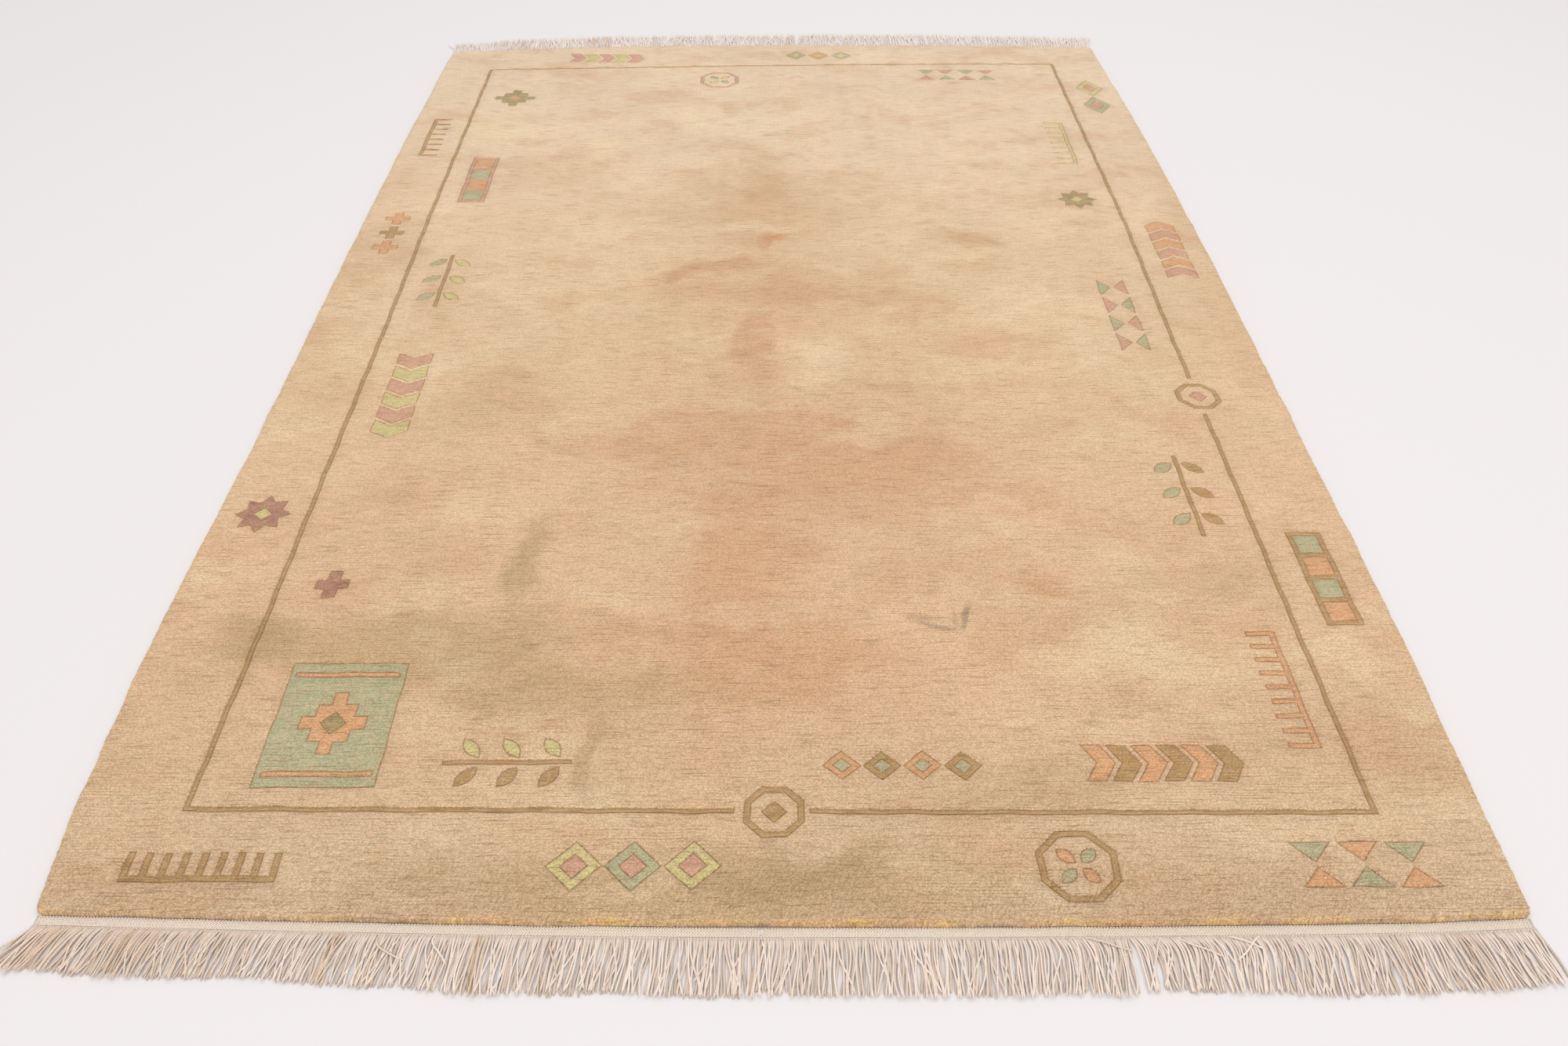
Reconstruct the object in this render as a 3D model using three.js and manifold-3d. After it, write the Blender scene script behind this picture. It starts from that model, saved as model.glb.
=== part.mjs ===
// A hand-knotted Nepalese wool rug, 200 by 300 cm, lying flat with a sewn-on cotton fringe at each end.
// Millimetres. X runs across the rug, Y from its front end to its back end, and Z up from the floor.
// The pile is carved beside a thin frame line and round each small motif that is knotted along it.

import * as THREE from 'three';
import { mergeVertices } from 'three/addons/utils/BufferGeometryUtils.js';
import Module from 'manifold-3d';

const wasm = await Module();
wasm.setup();

// Driving dimensions of the knotted cloth
const RUG_WIDTH = 2000;
const RUG_LENGTH = 3000;
const PILE_HEIGHT = 13;
const CORNER_RADIUS = 14;
const LINE_WIDTH = 8.5;
const GROOVE_WIDTH = 4.4;
const GROOVE_DEPTH = 3.6;

// Within a motif: the coloured line that frames a shape, a sprig's stem and its leaves' angle,
// and the plain pile between neighbouring shapes and between points that nearly touch
const RIM = 9;
const STEM_WIDTH = 7;
const LEAF_ANGLE = 52;
const SHAPE_GAP = 10;
const POINT_GAP = 4;

// Driving dimensions of the fringe, and the gap that parts its tape from the cloth
const PIECE_GAP = 0.3;
const TAPE_WIDTH = 20;
const LOCKS_PER_END = 140;
const LOCK_WIDTH = 7.4;
const LOCK_TIP_WIDTH = 4.6;
const LOCK_HEIGHT = 2.0;
const LOCK_TIP_HEIGHT = 1.6;
const ROOT_DEPTH = 5;

// Straight stretches that an edge's curve is cut into
const SIDE_STEPS = 12;
const END_STEPS = 12;

// How far each long edge stands out from a straight one, from the front corner (0) to the back one (1)
const SIDE_EDGES = [
  { along: 0.0, left: 4, right: 2 },
  { along: 0.06, left: 18, right: 6 },
  { along: 0.17, left: 26, right: 17 },
  { along: 0.35, left: 18, right: 22 },
  { along: 0.58, left: 18, right: 26 },
  { along: 0.8, left: 13, right: 17 },
  { along: 1.0, left: 0, right: -6 },
];

// How far each end stands out from a straight one, from the left corner (0) to the right one (1)
const END_EDGES = [
  { across: 0.0, front: -1, back: -41 },
  { across: 0.15, front: 8, back: -3 },
  { across: 0.33, front: 17, back: 24 },
  { across: 0.5, front: 21, back: 37 },
  { across: 0.75, front: 21, back: 44 },
  { across: 0.93, front: 17, back: 43 },
  { across: 1.0, front: 11, back: 39 },
];

// The pile's rounded edge, from the backing up: how far each level is drawn in from the widest one
const EDGE_PROFILE = [
  { height: 0, inset: 0.6 },
  { height: 3, inset: 0 },
  { height: 8.5, inset: 0.6 },
  { height: 11.6, inset: 3 },
  { height: PILE_HEIGHT, inset: 8 },
];

// The frame line's middle, measured on the cloth: its long runs by the distance from the rug's middle
const LINE_SIDES = [
  { y: -1338, left: -858, right: 838 },
  { y: -1000, left: -856, right: 846 },
  { y: -560, left: -857, right: 849 },
  { y: -100, left: -857, right: 850 },
  { y: 400, left: -861, right: 857 },
  { y: 900, left: -860, right: 851 },
  { y: 1330, left: -857, right: 845 },
];

// and its short runs by the distance from the rug's middle
const LINE_ENDS = [
  { x: -858, front: -1337, back: 1325 },
  { x: -500, front: -1339, back: 1346 },
  { x: -150, front: -1342, back: 1366 },
  { x: 250, front: -1345, back: 1384 },
  { x: 600, front: -1346, back: 1396 },
  { x: 845, front: -1346, back: 1397 },
];

// The header tape's section, outwards from the pile's edge: a flat knitted band with a cord along its rim
const TAPE_SECTION = [
  { out: PIECE_GAP, height: 0 },
  { out: PIECE_GAP, height: 2.2 },
  { out: 14.5, height: 2.2 },
  { out: 16, height: 3.0 },
  { out: 18.8, height: 3.0 },
  { out: TAPE_WIDTH, height: 1.8 },
  { out: TAPE_WIDTH, height: 0 },
];

// How the locks lie: their length past the tape, and how far they lean to the right, in degrees
const FRONT_FRINGE = [
  { across: 0.0, length: 64, lean: -28 },
  { across: 0.05, length: 64, lean: -16 },
  { across: 0.15, length: 66, lean: -7 },
  { across: 0.35, length: 78, lean: 0 },
  { across: 0.7, length: 80, lean: 2 },
  { across: 0.92, length: 82, lean: 7 },
  { across: 1.0, length: 78, lean: 11 },
];
const BACK_FRINGE = [
  { across: 0.0, length: 62, lean: -18 },
  { across: 0.1, length: 78, lean: -7 },
  { across: 0.4, length: 86, lean: 0 },
  { across: 0.75, length: 90, lean: 2 },
  { across: 1.0, length: 80, lean: 12 },
];

const radians = THREE.MathUtils.degToRad;

// A smooth value from a table: a curve through one column of its rows
function readTable(rows, key, column, at) {
  let i = 1;
  while (i < rows.length - 1 && rows[i][key] < at) i += 1;
  const before = rows[Math.max(i - 2, 0)];
  const start = rows[i - 1];
  const end = rows[i];
  const after = rows[Math.min(i + 1, rows.length - 1)];
  const span = end[key] - start[key];
  const slopeIn = (end[column] - before[column]) / (end[key] - before[key]) * span;
  const slopeOut = (after[column] - start[column]) / (after[key] - start[key]) * span;
  const t = (at - start[key]) / span;
  const bent = 3 * t ** 2 - 2 * t ** 3;
  return start[column] * (1 - bent) + end[column] * bent
    + slopeIn * (t ** 3 - 2 * t ** 2 + t) + slopeOut * (t ** 3 - t ** 2);
}

// A repeatable value from -1 to 1 for item number n, so that no two locks lie alike
function jitter(n, seed) {
  const wave = Math.sin(n * 12.9898 + seed * 78.233) * 43758.5453;
  return 2 * (wave - Math.floor(wave)) - 1;
}

const HALF = { x: RUG_WIDTH / 2, y: RUG_LENGTH / 2 };
const sideX = (side, along) => {
  const sign = side === 'left' ? -1 : 1;
  return sign * (HALF.x + readTable(SIDE_EDGES, 'along', side, along));
};
const endY = (end, across) => {
  const sign = end === 'front' ? -1 : 1;
  return sign * (HALF.y + readTable(END_EDGES, 'across', end, across));
};

function sidePoint(side, along) {
  const across = side === 'left' ? 0 : 1;
  const y = THREE.MathUtils.lerp(endY('front', across), endY('back', across), along);
  return new THREE.Vector2(sideX(side, along), y);
}

function endPoint(end, across) {
  const along = end === 'front' ? 0 : 1;
  const x = THREE.MathUtils.lerp(sideX('left', along), sideX('right', along), across);
  return new THREE.Vector2(x, endY(end, across));
}

// Points on a rounded corner between two edges that leave it
function cornerArc(corner, towardsA, towardsB, radius) {
  const a = towardsA.clone().sub(corner).normalize().multiplyScalar(radius).add(corner);
  const b = towardsB.clone().sub(corner).normalize().multiplyScalar(radius).add(corner);
  return new THREE.QuadraticBezierCurve(a, corner, b).getPoints(4);
}

// The rug's outline, anticlockwise from its front left corner
function rugOutline() {
  const steps = (n) => Array.from({ length: n - 1 }, (_, i) => (i + 1) / n);
  const front = steps(END_STEPS).map((t) => endPoint('front', t));
  const right = steps(SIDE_STEPS).map((t) => sidePoint('right', t));
  const back = steps(END_STEPS).map((t) => endPoint('back', 1 - t));
  const left = steps(SIDE_STEPS).map((t) => sidePoint('left', 1 - t));
  const corner = (point, from, to) => cornerArc(point, from, to, CORNER_RADIUS);
  return [
    ...corner(endPoint('front', 0), left.at(-1), front[0]), ...front,
    ...corner(endPoint('front', 1), front.at(-1), right[0]), ...right,
    ...corner(endPoint('back', 1), right.at(-1), back[0]), ...back,
    ...corner(endPoint('back', 0), back.at(-1), left[0]), ...left,
  ];
}

// A closed outline moved outwards by a distance, or inwards where it is negative
function moved(points, distance) {
  const LONGEST_MITRE = 2.4;
  return points.map((point, i) => {
    const before = points.at(i - 1);
    const after = points[(i + 1) % points.length];
    const d1 = point.clone().sub(before).normalize();
    const d2 = after.clone().sub(point).normalize();
    const normal = new THREE.Vector2(d1.y + d2.y, -d1.x - d2.x).normalize();
    const mitre = 1 / Math.max(normal.dot(new THREE.Vector2(d1.y, -d1.x)), 1 / LONGEST_MITRE);
    return point.clone().addScaledVector(normal, distance * mitre);
  });
}

// Anticlockwise triangles that fill a closed outline
function filled(outline) {
  return THREE.ShapeUtils.triangulateShape(outline, []).map(([a, b, c]) => {
    const area = THREE.ShapeUtils.area([outline[a], outline[b], outline[c]]);
    return area > 0 ? [a, b, c] : [a, c, b];
  });
}

// A closed shape through level rings of points, capped at both ends
function stacked(rings) {
  const count = rings[0].points.length;
  const positions = rings.flatMap((ring) => ring.points.flatMap((p) => [p.x, p.y, ring.z]));
  const faces = [];
  for (let k = 0; k < rings.length - 1; k += 1) {
    for (let i = 0; i < count; i += 1) {
      const j = (i + 1) % count;
      const low = k * count;
      const high = low + count;
      faces.push(low + i, low + j, high + j, low + i, high + j, high + i);
    }
  }
  const top = (rings.length - 1) * count;
  filled(rings[0].points).forEach(([a, b, c]) => faces.push(c, b, a));
  filled(rings.at(-1).points).forEach(([a, b, c]) => faces.push(top + a, top + b, top + c));
  return indexed(positions, faces);
}

function indexed(positions, faces) {
  const geometry = new THREE.BufferGeometry();
  geometry.setAttribute('position', new THREE.Float32BufferAttribute(positions, 3));
  geometry.setIndex(faces);
  return geometry;
}

function toSolid(geometry) {
  const bare = geometry.clone();
  bare.deleteAttribute('normal');
  bare.deleteAttribute('uv');
  const merged = mergeVertices(bare, 1e-4);
  return new wasm.Manifold(new wasm.Mesh({
    numProp: 3,
    vertProperties: Float32Array.from(merged.attributes.position.array),
    triVerts: Uint32Array.from(merged.index.array),
  }));
}

function toGeometry(solid) {
  const mesh = solid.getMesh();
  const geometry = indexed(Array.from(mesh.vertProperties), Array.from(mesh.triVerts));
  geometry.computeVertexNormals();
  return geometry;
}

// Plain outlines of the motifs, each centred on its own middle and anticlockwise
const points = (pairs) => pairs.map(([x, y]) => new THREE.Vector2(x, y));
const diamond = (w, h) => points([[w / 2, 0], [0, h / 2], [-w / 2, 0], [0, -h / 2]]);
const oblong = (w, h) => points([[-w / 2, -h / 2], [w / 2, -h / 2], [w / 2, h / 2], [-w / 2, h / 2]]);

function ring(w, h, corners) {
  return Array.from({ length: corners }, (_, i) => {
    const angle = (2 * Math.PI * (i + 0.5)) / corners;
    const reach = 1 / Math.cos(Math.PI / corners);
    return new THREE.Vector2(w / 2 * reach * Math.cos(angle), h / 2 * reach * Math.sin(angle));
  });
}

function star(w, h, tips, waist) {
  return Array.from({ length: 2 * tips }, (_, i) => {
    const reach = i % 2 === 0 ? 1 : waist;
    const angle = (Math.PI * i) / tips;
    return new THREE.Vector2(w / 2 * reach * Math.cos(angle), h / 2 * reach * Math.sin(angle));
  });
}

// A diamond whose four sides are stairs
function stairs(w, h, steps) {
  const wide = w / (2 * steps - 1);
  const high = h / (2 * steps - 1);
  const quarter = [];
  for (let k = 0; k < steps; k += 1) {
    const x = (steps - k - 0.5) * wide;
    if (k > 0) quarter.push([x, (k - 0.5) * high]);
    quarter.push([x, (k + 0.5) * high]);
  }
  const flipped = (sx, sy) => quarter.map(([x, y]) => [x * sx, y * sy]);
  return points([
    ...quarter, ...flipped(-1, 1).reverse(), ...flipped(-1, -1), ...flipped(1, -1).reverse(),
  ]);
}

function cross(w, h, arm) {
  const a = arm / 2;
  return points([
    [a, -h / 2], [a, -a], [w / 2, -a], [w / 2, a], [a, a], [a, h / 2],
    [-a, h / 2], [-a, a], [-w / 2, a], [-w / 2, -a], [-a, -a], [-a, -h / 2],
  ]);
}

// A bar with teeth that stand up from it
function comb(w, h, teeth, thick) {
  const pitch = (w - thick) / (teeth - 1);
  const top = [];
  for (let k = teeth - 1; k >= 0; k -= 1) {
    const left = -w / 2 + k * pitch;
    top.push([left + thick, -h / 2 + thick], [left + thick, h / 2], [left, h / 2], [left, -h / 2 + thick]);
  }
  return points([[-w / 2, -h / 2], [w / 2, -h / 2], ...top.slice(1, -1)]);
}

// One bent band, pointing to the right
function chevron(w, h, thick) {
  return points([
    [-w / 2, -h / 2], [-w / 2 + thick, -h / 2], [w / 2, 0],
    [-w / 2 + thick, h / 2], [-w / 2, h / 2], [w / 2 - thick, 0],
  ]);
}

function leaf(length, width) {
  const SIDE_POINTS = 4;
  const side = (sign) => Array.from({ length: SIDE_POINTS }, (_, i) => {
    const t = i / SIDE_POINTS;
    return new THREE.Vector2(sign * length * (t - 0.5), sign * width / 2 * Math.sin(Math.PI * t) ** 0.8);
  });
  return [...side(1).map((p) => p.setY(-p.y)), ...side(-1).map((p) => p.setY(-p.y))];
}

const placed = (outline, x, y, turn = 0) => outline.map(
  (p) => p.clone().rotateAround(new THREE.Vector2(), radians(turn)).add(new THREE.Vector2(x, y)),
);

// The same outlines repeated along X, in n equal places
const inRow = (n, width, outlines) => Array.from({ length: n }, (_, i) => {
  const x = (i + 0.5 - n / 2) * (width / n);
  return outlines.map((outline) => placed(outline, x, 0));
}).flat();

// The motifs: each function gives the outlines that are carved, for a width, a height and a count
const MOTIFS = {
  lozenges: (w, h, n) => {
    const wide = w / n - POINT_GAP;
    return inRow(n, w, [diamond(wide, h), diamond(wide / 2, h / 2)]);
  },
  hourglasses: (w, h, n) => {
    const side = (w / n - SHAPE_GAP) / 2;
    const upper = points([[-side, h / 2], [0, POINT_GAP], [side, h / 2]]);
    const lower = points([[-side, -h / 2], [side, -h / 2], [0, -POINT_GAP]]);
    return inRow(n, w, [upper, lower]);
  },
  chevrons: (w, h, n) => inRow(n, w, [chevron(w / n + SHAPE_GAP, h, w / n - SHAPE_GAP)]),
  crosses: (w, h, n) => inRow(n, w, [cross(w / n - SHAPE_GAP, h, h / 3)]),
  comb: (w, h, n) => [comb(w, h, n, RIM)],
  stairs: (w, h) => [stairs(w, h, 3), diamond(w / 3, h / 3)],
  star: (w, h) => [star(w, h, 8, 0.66), diamond(w / 3, h / 3)],
  medallion: (w, h) => [ring(w, h, 8), ring(w - 2 * RIM, h - 2 * RIM, 8), diamond(w * 0.42, h * 0.42)],
  rosette: (w, h) => {
    const petal = placed(leaf(w * 0.28, w * 0.17), w * 0.2, 0);
    const petals = [45, 135, 225, 315].map((angle) => placed(petal, 0, 0, angle));
    return [ring(w, h, 8), ring(w - 2 * RIM, h - 2 * RIM, 8), ...petals];
  },
  checks: (w, h, n) => {
    const check = oblong((w - RIM) / n - SHAPE_GAP, h - 2 * RIM);
    return [oblong(w, h), ...inRow(n, w - RIM, [check])];
  },
  sprig: (w, h) => {
    const pairs = [-0.3, 0.02, 0.34].flatMap((along) => [1, -1].map((side) => (
      placed(leaf(h * 0.5, h * 0.25), w * along, side * h * 0.3, 180 - side * LEAF_ANGLE)
    )));
    return [oblong(w, STEM_WIDTH), ...pairs];
  },
  panel: (w, h) => {
    const bars = [-0.4, 0.4].map((up) => placed(oblong(w - 2 * RIM, RIM), 0, up * h));
    return [oblong(w, h), stairs(w * 0.56, h * 0.5, 3), diamond(w * 0.22, h * 0.18), ...bars];
  },
};

// Where each motif lies, from the rug's middle; turn is in degrees
const LAYOUT = [
  { motif: 'panel', x: -690, y: -1180, w: 180, h: 240, n: 1, turn: 0 },
  { motif: 'sprig', x: -415, y: -1255, w: 190, h: 88, n: 1, turn: 0 },
  { motif: 'lozenges', x: -215, y: -1432, w: 246, h: 78, n: 3, turn: 0 },
  { motif: 'comb', x: -805, y: -1432, w: 210, h: 46, n: 9, turn: 0 },
  { motif: 'medallion', x: -20, y: -1343, w: 86, h: 86, n: 1, turn: 0 },
  { motif: 'lozenges', x: 170, y: -1262, w: 240, h: 52, n: 4, turn: 0 },
  { motif: 'rosette', x: 400, y: -1434, w: 112, h: 112, n: 1, turn: 0 },
  { motif: 'chevrons', x: 560, y: -1258, w: 230, h: 66, n: 6, turn: 0 },
  { motif: 'hourglasses', x: 800, y: -1432, w: 204, h: 72, n: 3, turn: 0 },
  { motif: 'comb', x: 782, y: -1110, w: 240, h: 48, n: 9, turn: 90 },
  { motif: 'checks', x: 932, y: -860, w: 230, h: 62, n: 4, turn: 90 },
  { motif: 'sprig', x: 752, y: -640, w: 230, h: 96, n: 1, turn: 90 },
  { motif: 'medallion', x: 850, y: -330, w: 86, h: 86, n: 1, turn: 0 },
  { motif: 'hourglasses', x: 762, y: -20, w: 300, h: 62, n: 4, turn: 90 },
  { motif: 'chevrons', x: 938, y: 270, w: 260, h: 70, n: 6, turn: 90 },
  { motif: 'star', x: 760, y: 520, w: 100, h: 100, n: 1, turn: 0 },
  { motif: 'comb', x: 776, y: 850, w: 260, h: 50, n: 9, turn: 90 },
  { motif: 'lozenges', x: 926, y: 1160, w: 240, h: 80, n: 2, turn: 90 },
  { motif: 'hourglasses', x: 540, y: 1312, w: 240, h: 74, n: 4, turn: 0 },
  { motif: 'lozenges', x: 130, y: 1454, w: 210, h: 66, n: 3, turn: 0 },
  { motif: 'rosette', x: -170, y: 1262, w: 112, h: 112, n: 1, turn: 0 },
  { motif: 'chevrons', x: -520, y: 1420, w: 220, h: 66, n: 5, turn: 0 },
  { motif: 'stairs', x: -756, y: 1120, w: 110, h: 110, n: 1, turn: 0 },
  { motif: 'comb', x: -934, y: 860, w: 230, h: 48, n: 8, turn: -90 },
  { motif: 'checks', x: -774, y: 610, w: 250, h: 66, n: 4, turn: 90 },
  { motif: 'crosses', x: -936, y: 330, w: 210, h: 58, n: 3, turn: 90 },
  { motif: 'sprig', x: -768, y: 110, w: 230, h: 96, n: 1, turn: 90 },
  { motif: 'chevrons', x: -768, y: -330, w: 280, h: 70, n: 6, turn: -90 },
  { motif: 'star', x: -938, y: -700, w: 100, h: 100, n: 1, turn: 0 },
  { motif: 'crosses', x: -768, y: -880, w: 64, h: 64, n: 1, turn: 0 },
];

const layoutOutlines = () => LAYOUT.flatMap(
  ({ motif, x, y, w, h, n, turn }) => MOTIFS[motif](w, h, n).map((outline) => placed(outline, x, y, turn)),
);

// The frame line as a closed middle path, anticlockwise from its front left corner
function linePath() {
  const side = (name, rows) => rows.map((r) => new THREE.Vector2(r[name], r.y));
  const end = (name, rows) => rows.map((r) => new THREE.Vector2(r.x, r[name]));
  return [
    ...end('front', LINE_ENDS),
    ...side('right', LINE_SIDES).slice(1, -1),
    ...end('back', LINE_ENDS).reverse(),
    ...side('left', LINE_SIDES).slice(1, -1).reverse(),
  ];
}

// A groove of V section along a closed outline
function groove(outline) {
  const RISE = 1;
  const half = GROOVE_WIDTH / 2 * (GROOVE_DEPTH + RISE) / GROOVE_DEPTH;
  const count = outline.length;
  const rings = [
    { points: moved(outline, half), z: PILE_HEIGHT + RISE },
    { points: outline, z: PILE_HEIGHT - GROOVE_DEPTH },
    { points: moved(outline, -half), z: PILE_HEIGHT + RISE },
  ];
  const positions = rings.flatMap((r) => r.points.flatMap((p) => [p.x, p.y, r.z]));
  const faces = [];
  for (let k = 0; k < 3; k += 1) {
    for (let i = 0; i < count; i += 1) {
      const j = (i + 1) % count;
      const a = k * count;
      const b = ((k + 1) % 3) * count;
      faces.push(a + i, b + j, a + j, a + i, b + i, b + j);
    }
  }
  return toSolid(indexed(positions, faces));
}

// The knotted cloth: a slab with a rounded edge, carved along the frame line and round the motifs
function rugBody() {
  const outline = rugOutline();
  const slab = toSolid(stacked(
    EDGE_PROFILE.map(({ height, inset }) => ({ points: moved(outline, -inset), z: height })),
  ));
  const medallions = LAYOUT.filter(({ motif }) => motif === 'medallion')
    .map(({ x, y, w, h }) => placed(ring(w, h, 8), x, y))
    .map((middle) => moved(middle, GROOVE_WIDTH))
    .map((ends) => toSolid(stacked([{ points: ends, z: 0 }, { points: ends, z: 2 * PILE_HEIGHT }])));
  const path = linePath();
  const lineGrooves = [LINE_WIDTH / 2, -LINE_WIDTH / 2]
    .map((offset) => groove(moved(path, offset)))
    .map((cut) => medallions.reduce((left, medallion) => left.subtract(medallion), cut));
  const cuts = [...lineGrooves, ...layoutOutlines().map(groove)];
  return toGeometry(cuts.reduce((body, cut) => body.subtract(cut), slab));
}

// The tape under one end, swept along the rug's own edge
function headerTape(end) {
  const outwards = end === 'front' ? -1 : 1;
  const count = TAPE_SECTION.length;
  const END_INSET = 0.002;
  const positions = [];
  for (let s = 0; s <= END_STEPS; s += 1) {
    const across = THREE.MathUtils.clamp(s / END_STEPS, END_INSET, 1 - END_INSET);
    const edge = endPoint(end, across);
    TAPE_SECTION.forEach(({ out, height }) => positions.push(edge.x, edge.y + outwards * out, height));
  }
  const faces = [];
  const quad = (a, b, c, d) => faces.push(a, b, c, a, c, d);
  for (let s = 0; s < END_STEPS; s += 1) {
    for (let k = 0; k < count; k += 1) {
      const next = (k + 1) % count;
      const here = s * count;
      const there = here + count;
      if (outwards > 0) quad(here + k, there + k, there + next, here + next);
      else quad(here + k, here + next, there + next, there + k);
    }
  }
  const section = TAPE_SECTION.map(({ out, height }) => new THREE.Vector2(out, height)).reverse();
  const last = END_STEPS * count;
  filled(section).map((face) => face.map((k) => count - 1 - k)).forEach(([a, b, c]) => {
    if (outwards > 0) faces.push(a, c, b, last + a, last + b, last + c);
    else faces.push(a, b, c, last + a, last + c, last + b);
  });
  return toSolid(indexed(positions, faces));
}

// One lock of the fringe: three-sided, level on the floor, thinner at its tip
function lock(end, table, index) {
  const outwards = end === 'front' ? -1 : 1;
  const across = (index + 0.5) / LOCKS_PER_END;
  const root = endPoint(end, across);
  root.y += outwards * (TAPE_WIDTH - ROOT_DEPTH);
  const lean = radians(readTable(table, 'across', 'lean', across) + 1.6 * jitter(index, 1));
  const length = ROOT_DEPTH + readTable(table, 'across', 'length', across) + 4 * jitter(index, 2);
  const ahead = new THREE.Vector2(Math.sin(lean), outwards * Math.cos(lean));
  const aside = new THREE.Vector2(-ahead.y, ahead.x);
  const stations = [
    { reach: 0, width: LOCK_WIDTH, height: LOCK_HEIGHT },
    { reach: length, width: LOCK_TIP_WIDTH, height: LOCK_TIP_HEIGHT },
  ];
  const positions = stations.flatMap(({ reach, width, height }) => {
    const middle = root.clone().addScaledVector(ahead, reach);
    const left = middle.clone().addScaledVector(aside, width / 2);
    const right = middle.clone().addScaledVector(aside, -width / 2);
    return [left.x, left.y, 0, right.x, right.y, 0, middle.x, middle.y, height];
  });
  const faces = [0, 1, 2, 3, 5, 4];
  for (let k = 0; k < 3; k += 1) {
    const next = (k + 1) % 3;
    faces.push(k, k + 3, next + 3, k, next + 3, next);
  }
  return toSolid(indexed(positions, faces));
}

// The trim at one end: the tape and the locks that are fused to it at their roots
function fringe(end, table) {
  let solid = headerTape(end);
  for (let i = 0; i < LOCKS_PER_END; i += 1) solid = solid.add(lock(end, table, i));
  return toGeometry(solid);
}

function piece(name, geometry, color, roughness) {
  const mesh = new THREE.Mesh(geometry, new THREE.MeshStandardMaterial({ color, roughness, metalness: 0 }));
  mesh.name = name;
  return mesh;
}

const rug = new THREE.Group();
rug.add(
  piece('rug_body', rugBody(), '#d8b48c', 0.95),
  piece('fringe_front', fringe('front', FRONT_FRINGE), '#dccbb9', 0.85),
  piece('fringe_back', fringe('back', BACK_FRINGE), '#dccbb9', 0.85),
);

// The origin is under the middle of the whole part
const whole = new THREE.Box3().setFromObject(rug);
const middle = whole.getCenter(new THREE.Vector3());
rug.children.forEach((mesh) => mesh.position.set(-middle.x, -middle.y, 0));

export default rug;
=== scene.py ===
# %% [markdown]
# # A carved wool rug with a cotton fringe
# This lesson dresses a 2 by 3 metre hand-knotted rug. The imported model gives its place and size. On it come
# the carved pile, the knitted tape sewn along each end, and the twisted cords of the fringe. Each step says
# what the piece is on the real rug, how it could be made, and why it is made this way here.

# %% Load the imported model
import math

import bpy
import numpy as np
from mathutils import Matrix, Vector, noise
from mathutils.geometry import delaunay_2d_cdt


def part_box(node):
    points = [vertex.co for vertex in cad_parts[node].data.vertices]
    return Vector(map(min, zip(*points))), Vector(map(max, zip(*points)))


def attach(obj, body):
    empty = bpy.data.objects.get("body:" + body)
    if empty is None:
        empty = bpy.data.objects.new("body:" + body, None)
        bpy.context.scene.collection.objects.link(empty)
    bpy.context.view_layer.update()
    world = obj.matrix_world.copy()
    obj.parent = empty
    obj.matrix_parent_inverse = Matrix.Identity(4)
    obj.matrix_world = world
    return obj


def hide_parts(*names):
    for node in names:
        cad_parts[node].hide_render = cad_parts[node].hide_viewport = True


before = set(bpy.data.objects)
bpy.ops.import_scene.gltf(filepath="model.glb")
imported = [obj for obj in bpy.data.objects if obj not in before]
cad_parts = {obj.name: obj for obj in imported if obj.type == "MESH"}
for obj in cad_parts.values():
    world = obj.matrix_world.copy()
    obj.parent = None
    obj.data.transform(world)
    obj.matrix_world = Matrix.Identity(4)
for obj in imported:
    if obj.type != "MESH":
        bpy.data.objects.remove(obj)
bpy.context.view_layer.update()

bpy.ops.object.select_all(action="DESELECT")
print("packed nodes:", sorted(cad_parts))

# %% [markdown]
# ## The rug's own measures
# Cloth is never square. The weaver's edges wander by a few centimetres, so each edge is kept as a short table
# of how far it stands out from a straight line, and a smooth curve is read through the table. Everything here
# is in millimetres and measured from the rug's middle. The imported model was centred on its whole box, fringe
# and all, so one shift carries these measures over to it.

# %% Driving dimensions and edge tables
MM = 0.001
RUG_WIDTH, RUG_LENGTH, PILE_HEIGHT, CORNER_RADIUS = 2000, 3000, 13, 14
TAPE_WIDTH = 20


def table(names, *rows):
    """Named columns from rows of numbers. The first column is the one that the others are read by."""
    return dict(zip(names.split(), np.array(rows, float).T))


SIDE_EDGES = table(
    "along left right",
    (0.0, 4, 2), (0.06, 18, 6), (0.17, 26, 17), (0.35, 18, 22), (0.58, 18, 26), (0.8, 13, 17), (1.0, 0, -6),
)
END_EDGES = table(
    "across front back",
    (0.0, -1, -41), (0.15, 8, -3), (0.33, 17, 24), (0.5, 21, 37),
    (0.75, 21, 44), (0.93, 17, 43), (1.0, 11, 39),
)


def read(rows, column, at):
    """A smooth curve through one column of a table, read at one or many places."""
    keys, values = next(iter(rows.values())), rows[column]
    at = np.asarray(at, float)
    i = np.clip(np.searchsorted(keys, at), 1, len(keys) - 1)
    before, after = np.maximum(i - 2, 0), np.minimum(i + 1, len(keys) - 1)
    span = keys[i] - keys[i - 1]
    slope_in = (values[i] - values[before]) / (keys[i] - keys[before]) * span
    slope_out = (values[after] - values[i - 1]) / (keys[after] - keys[i - 1]) * span
    t = (at - keys[i - 1]) / span
    bent = t * t * (3 - 2 * t)
    curved = slope_in * (t**3 - 2 * t**2 + t) + slope_out * (t**3 - t**2)
    return values[i - 1] * (1 - bent) + values[i] * bent + curved


def side_x(side, along):
    return (-1 if side == "left" else 1) * (RUG_WIDTH / 2 + read(SIDE_EDGES, side, along))


def end_y(end, across):
    return (-1 if end == "front" else 1) * (RUG_LENGTH / 2 + read(END_EDGES, end, across))


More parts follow.
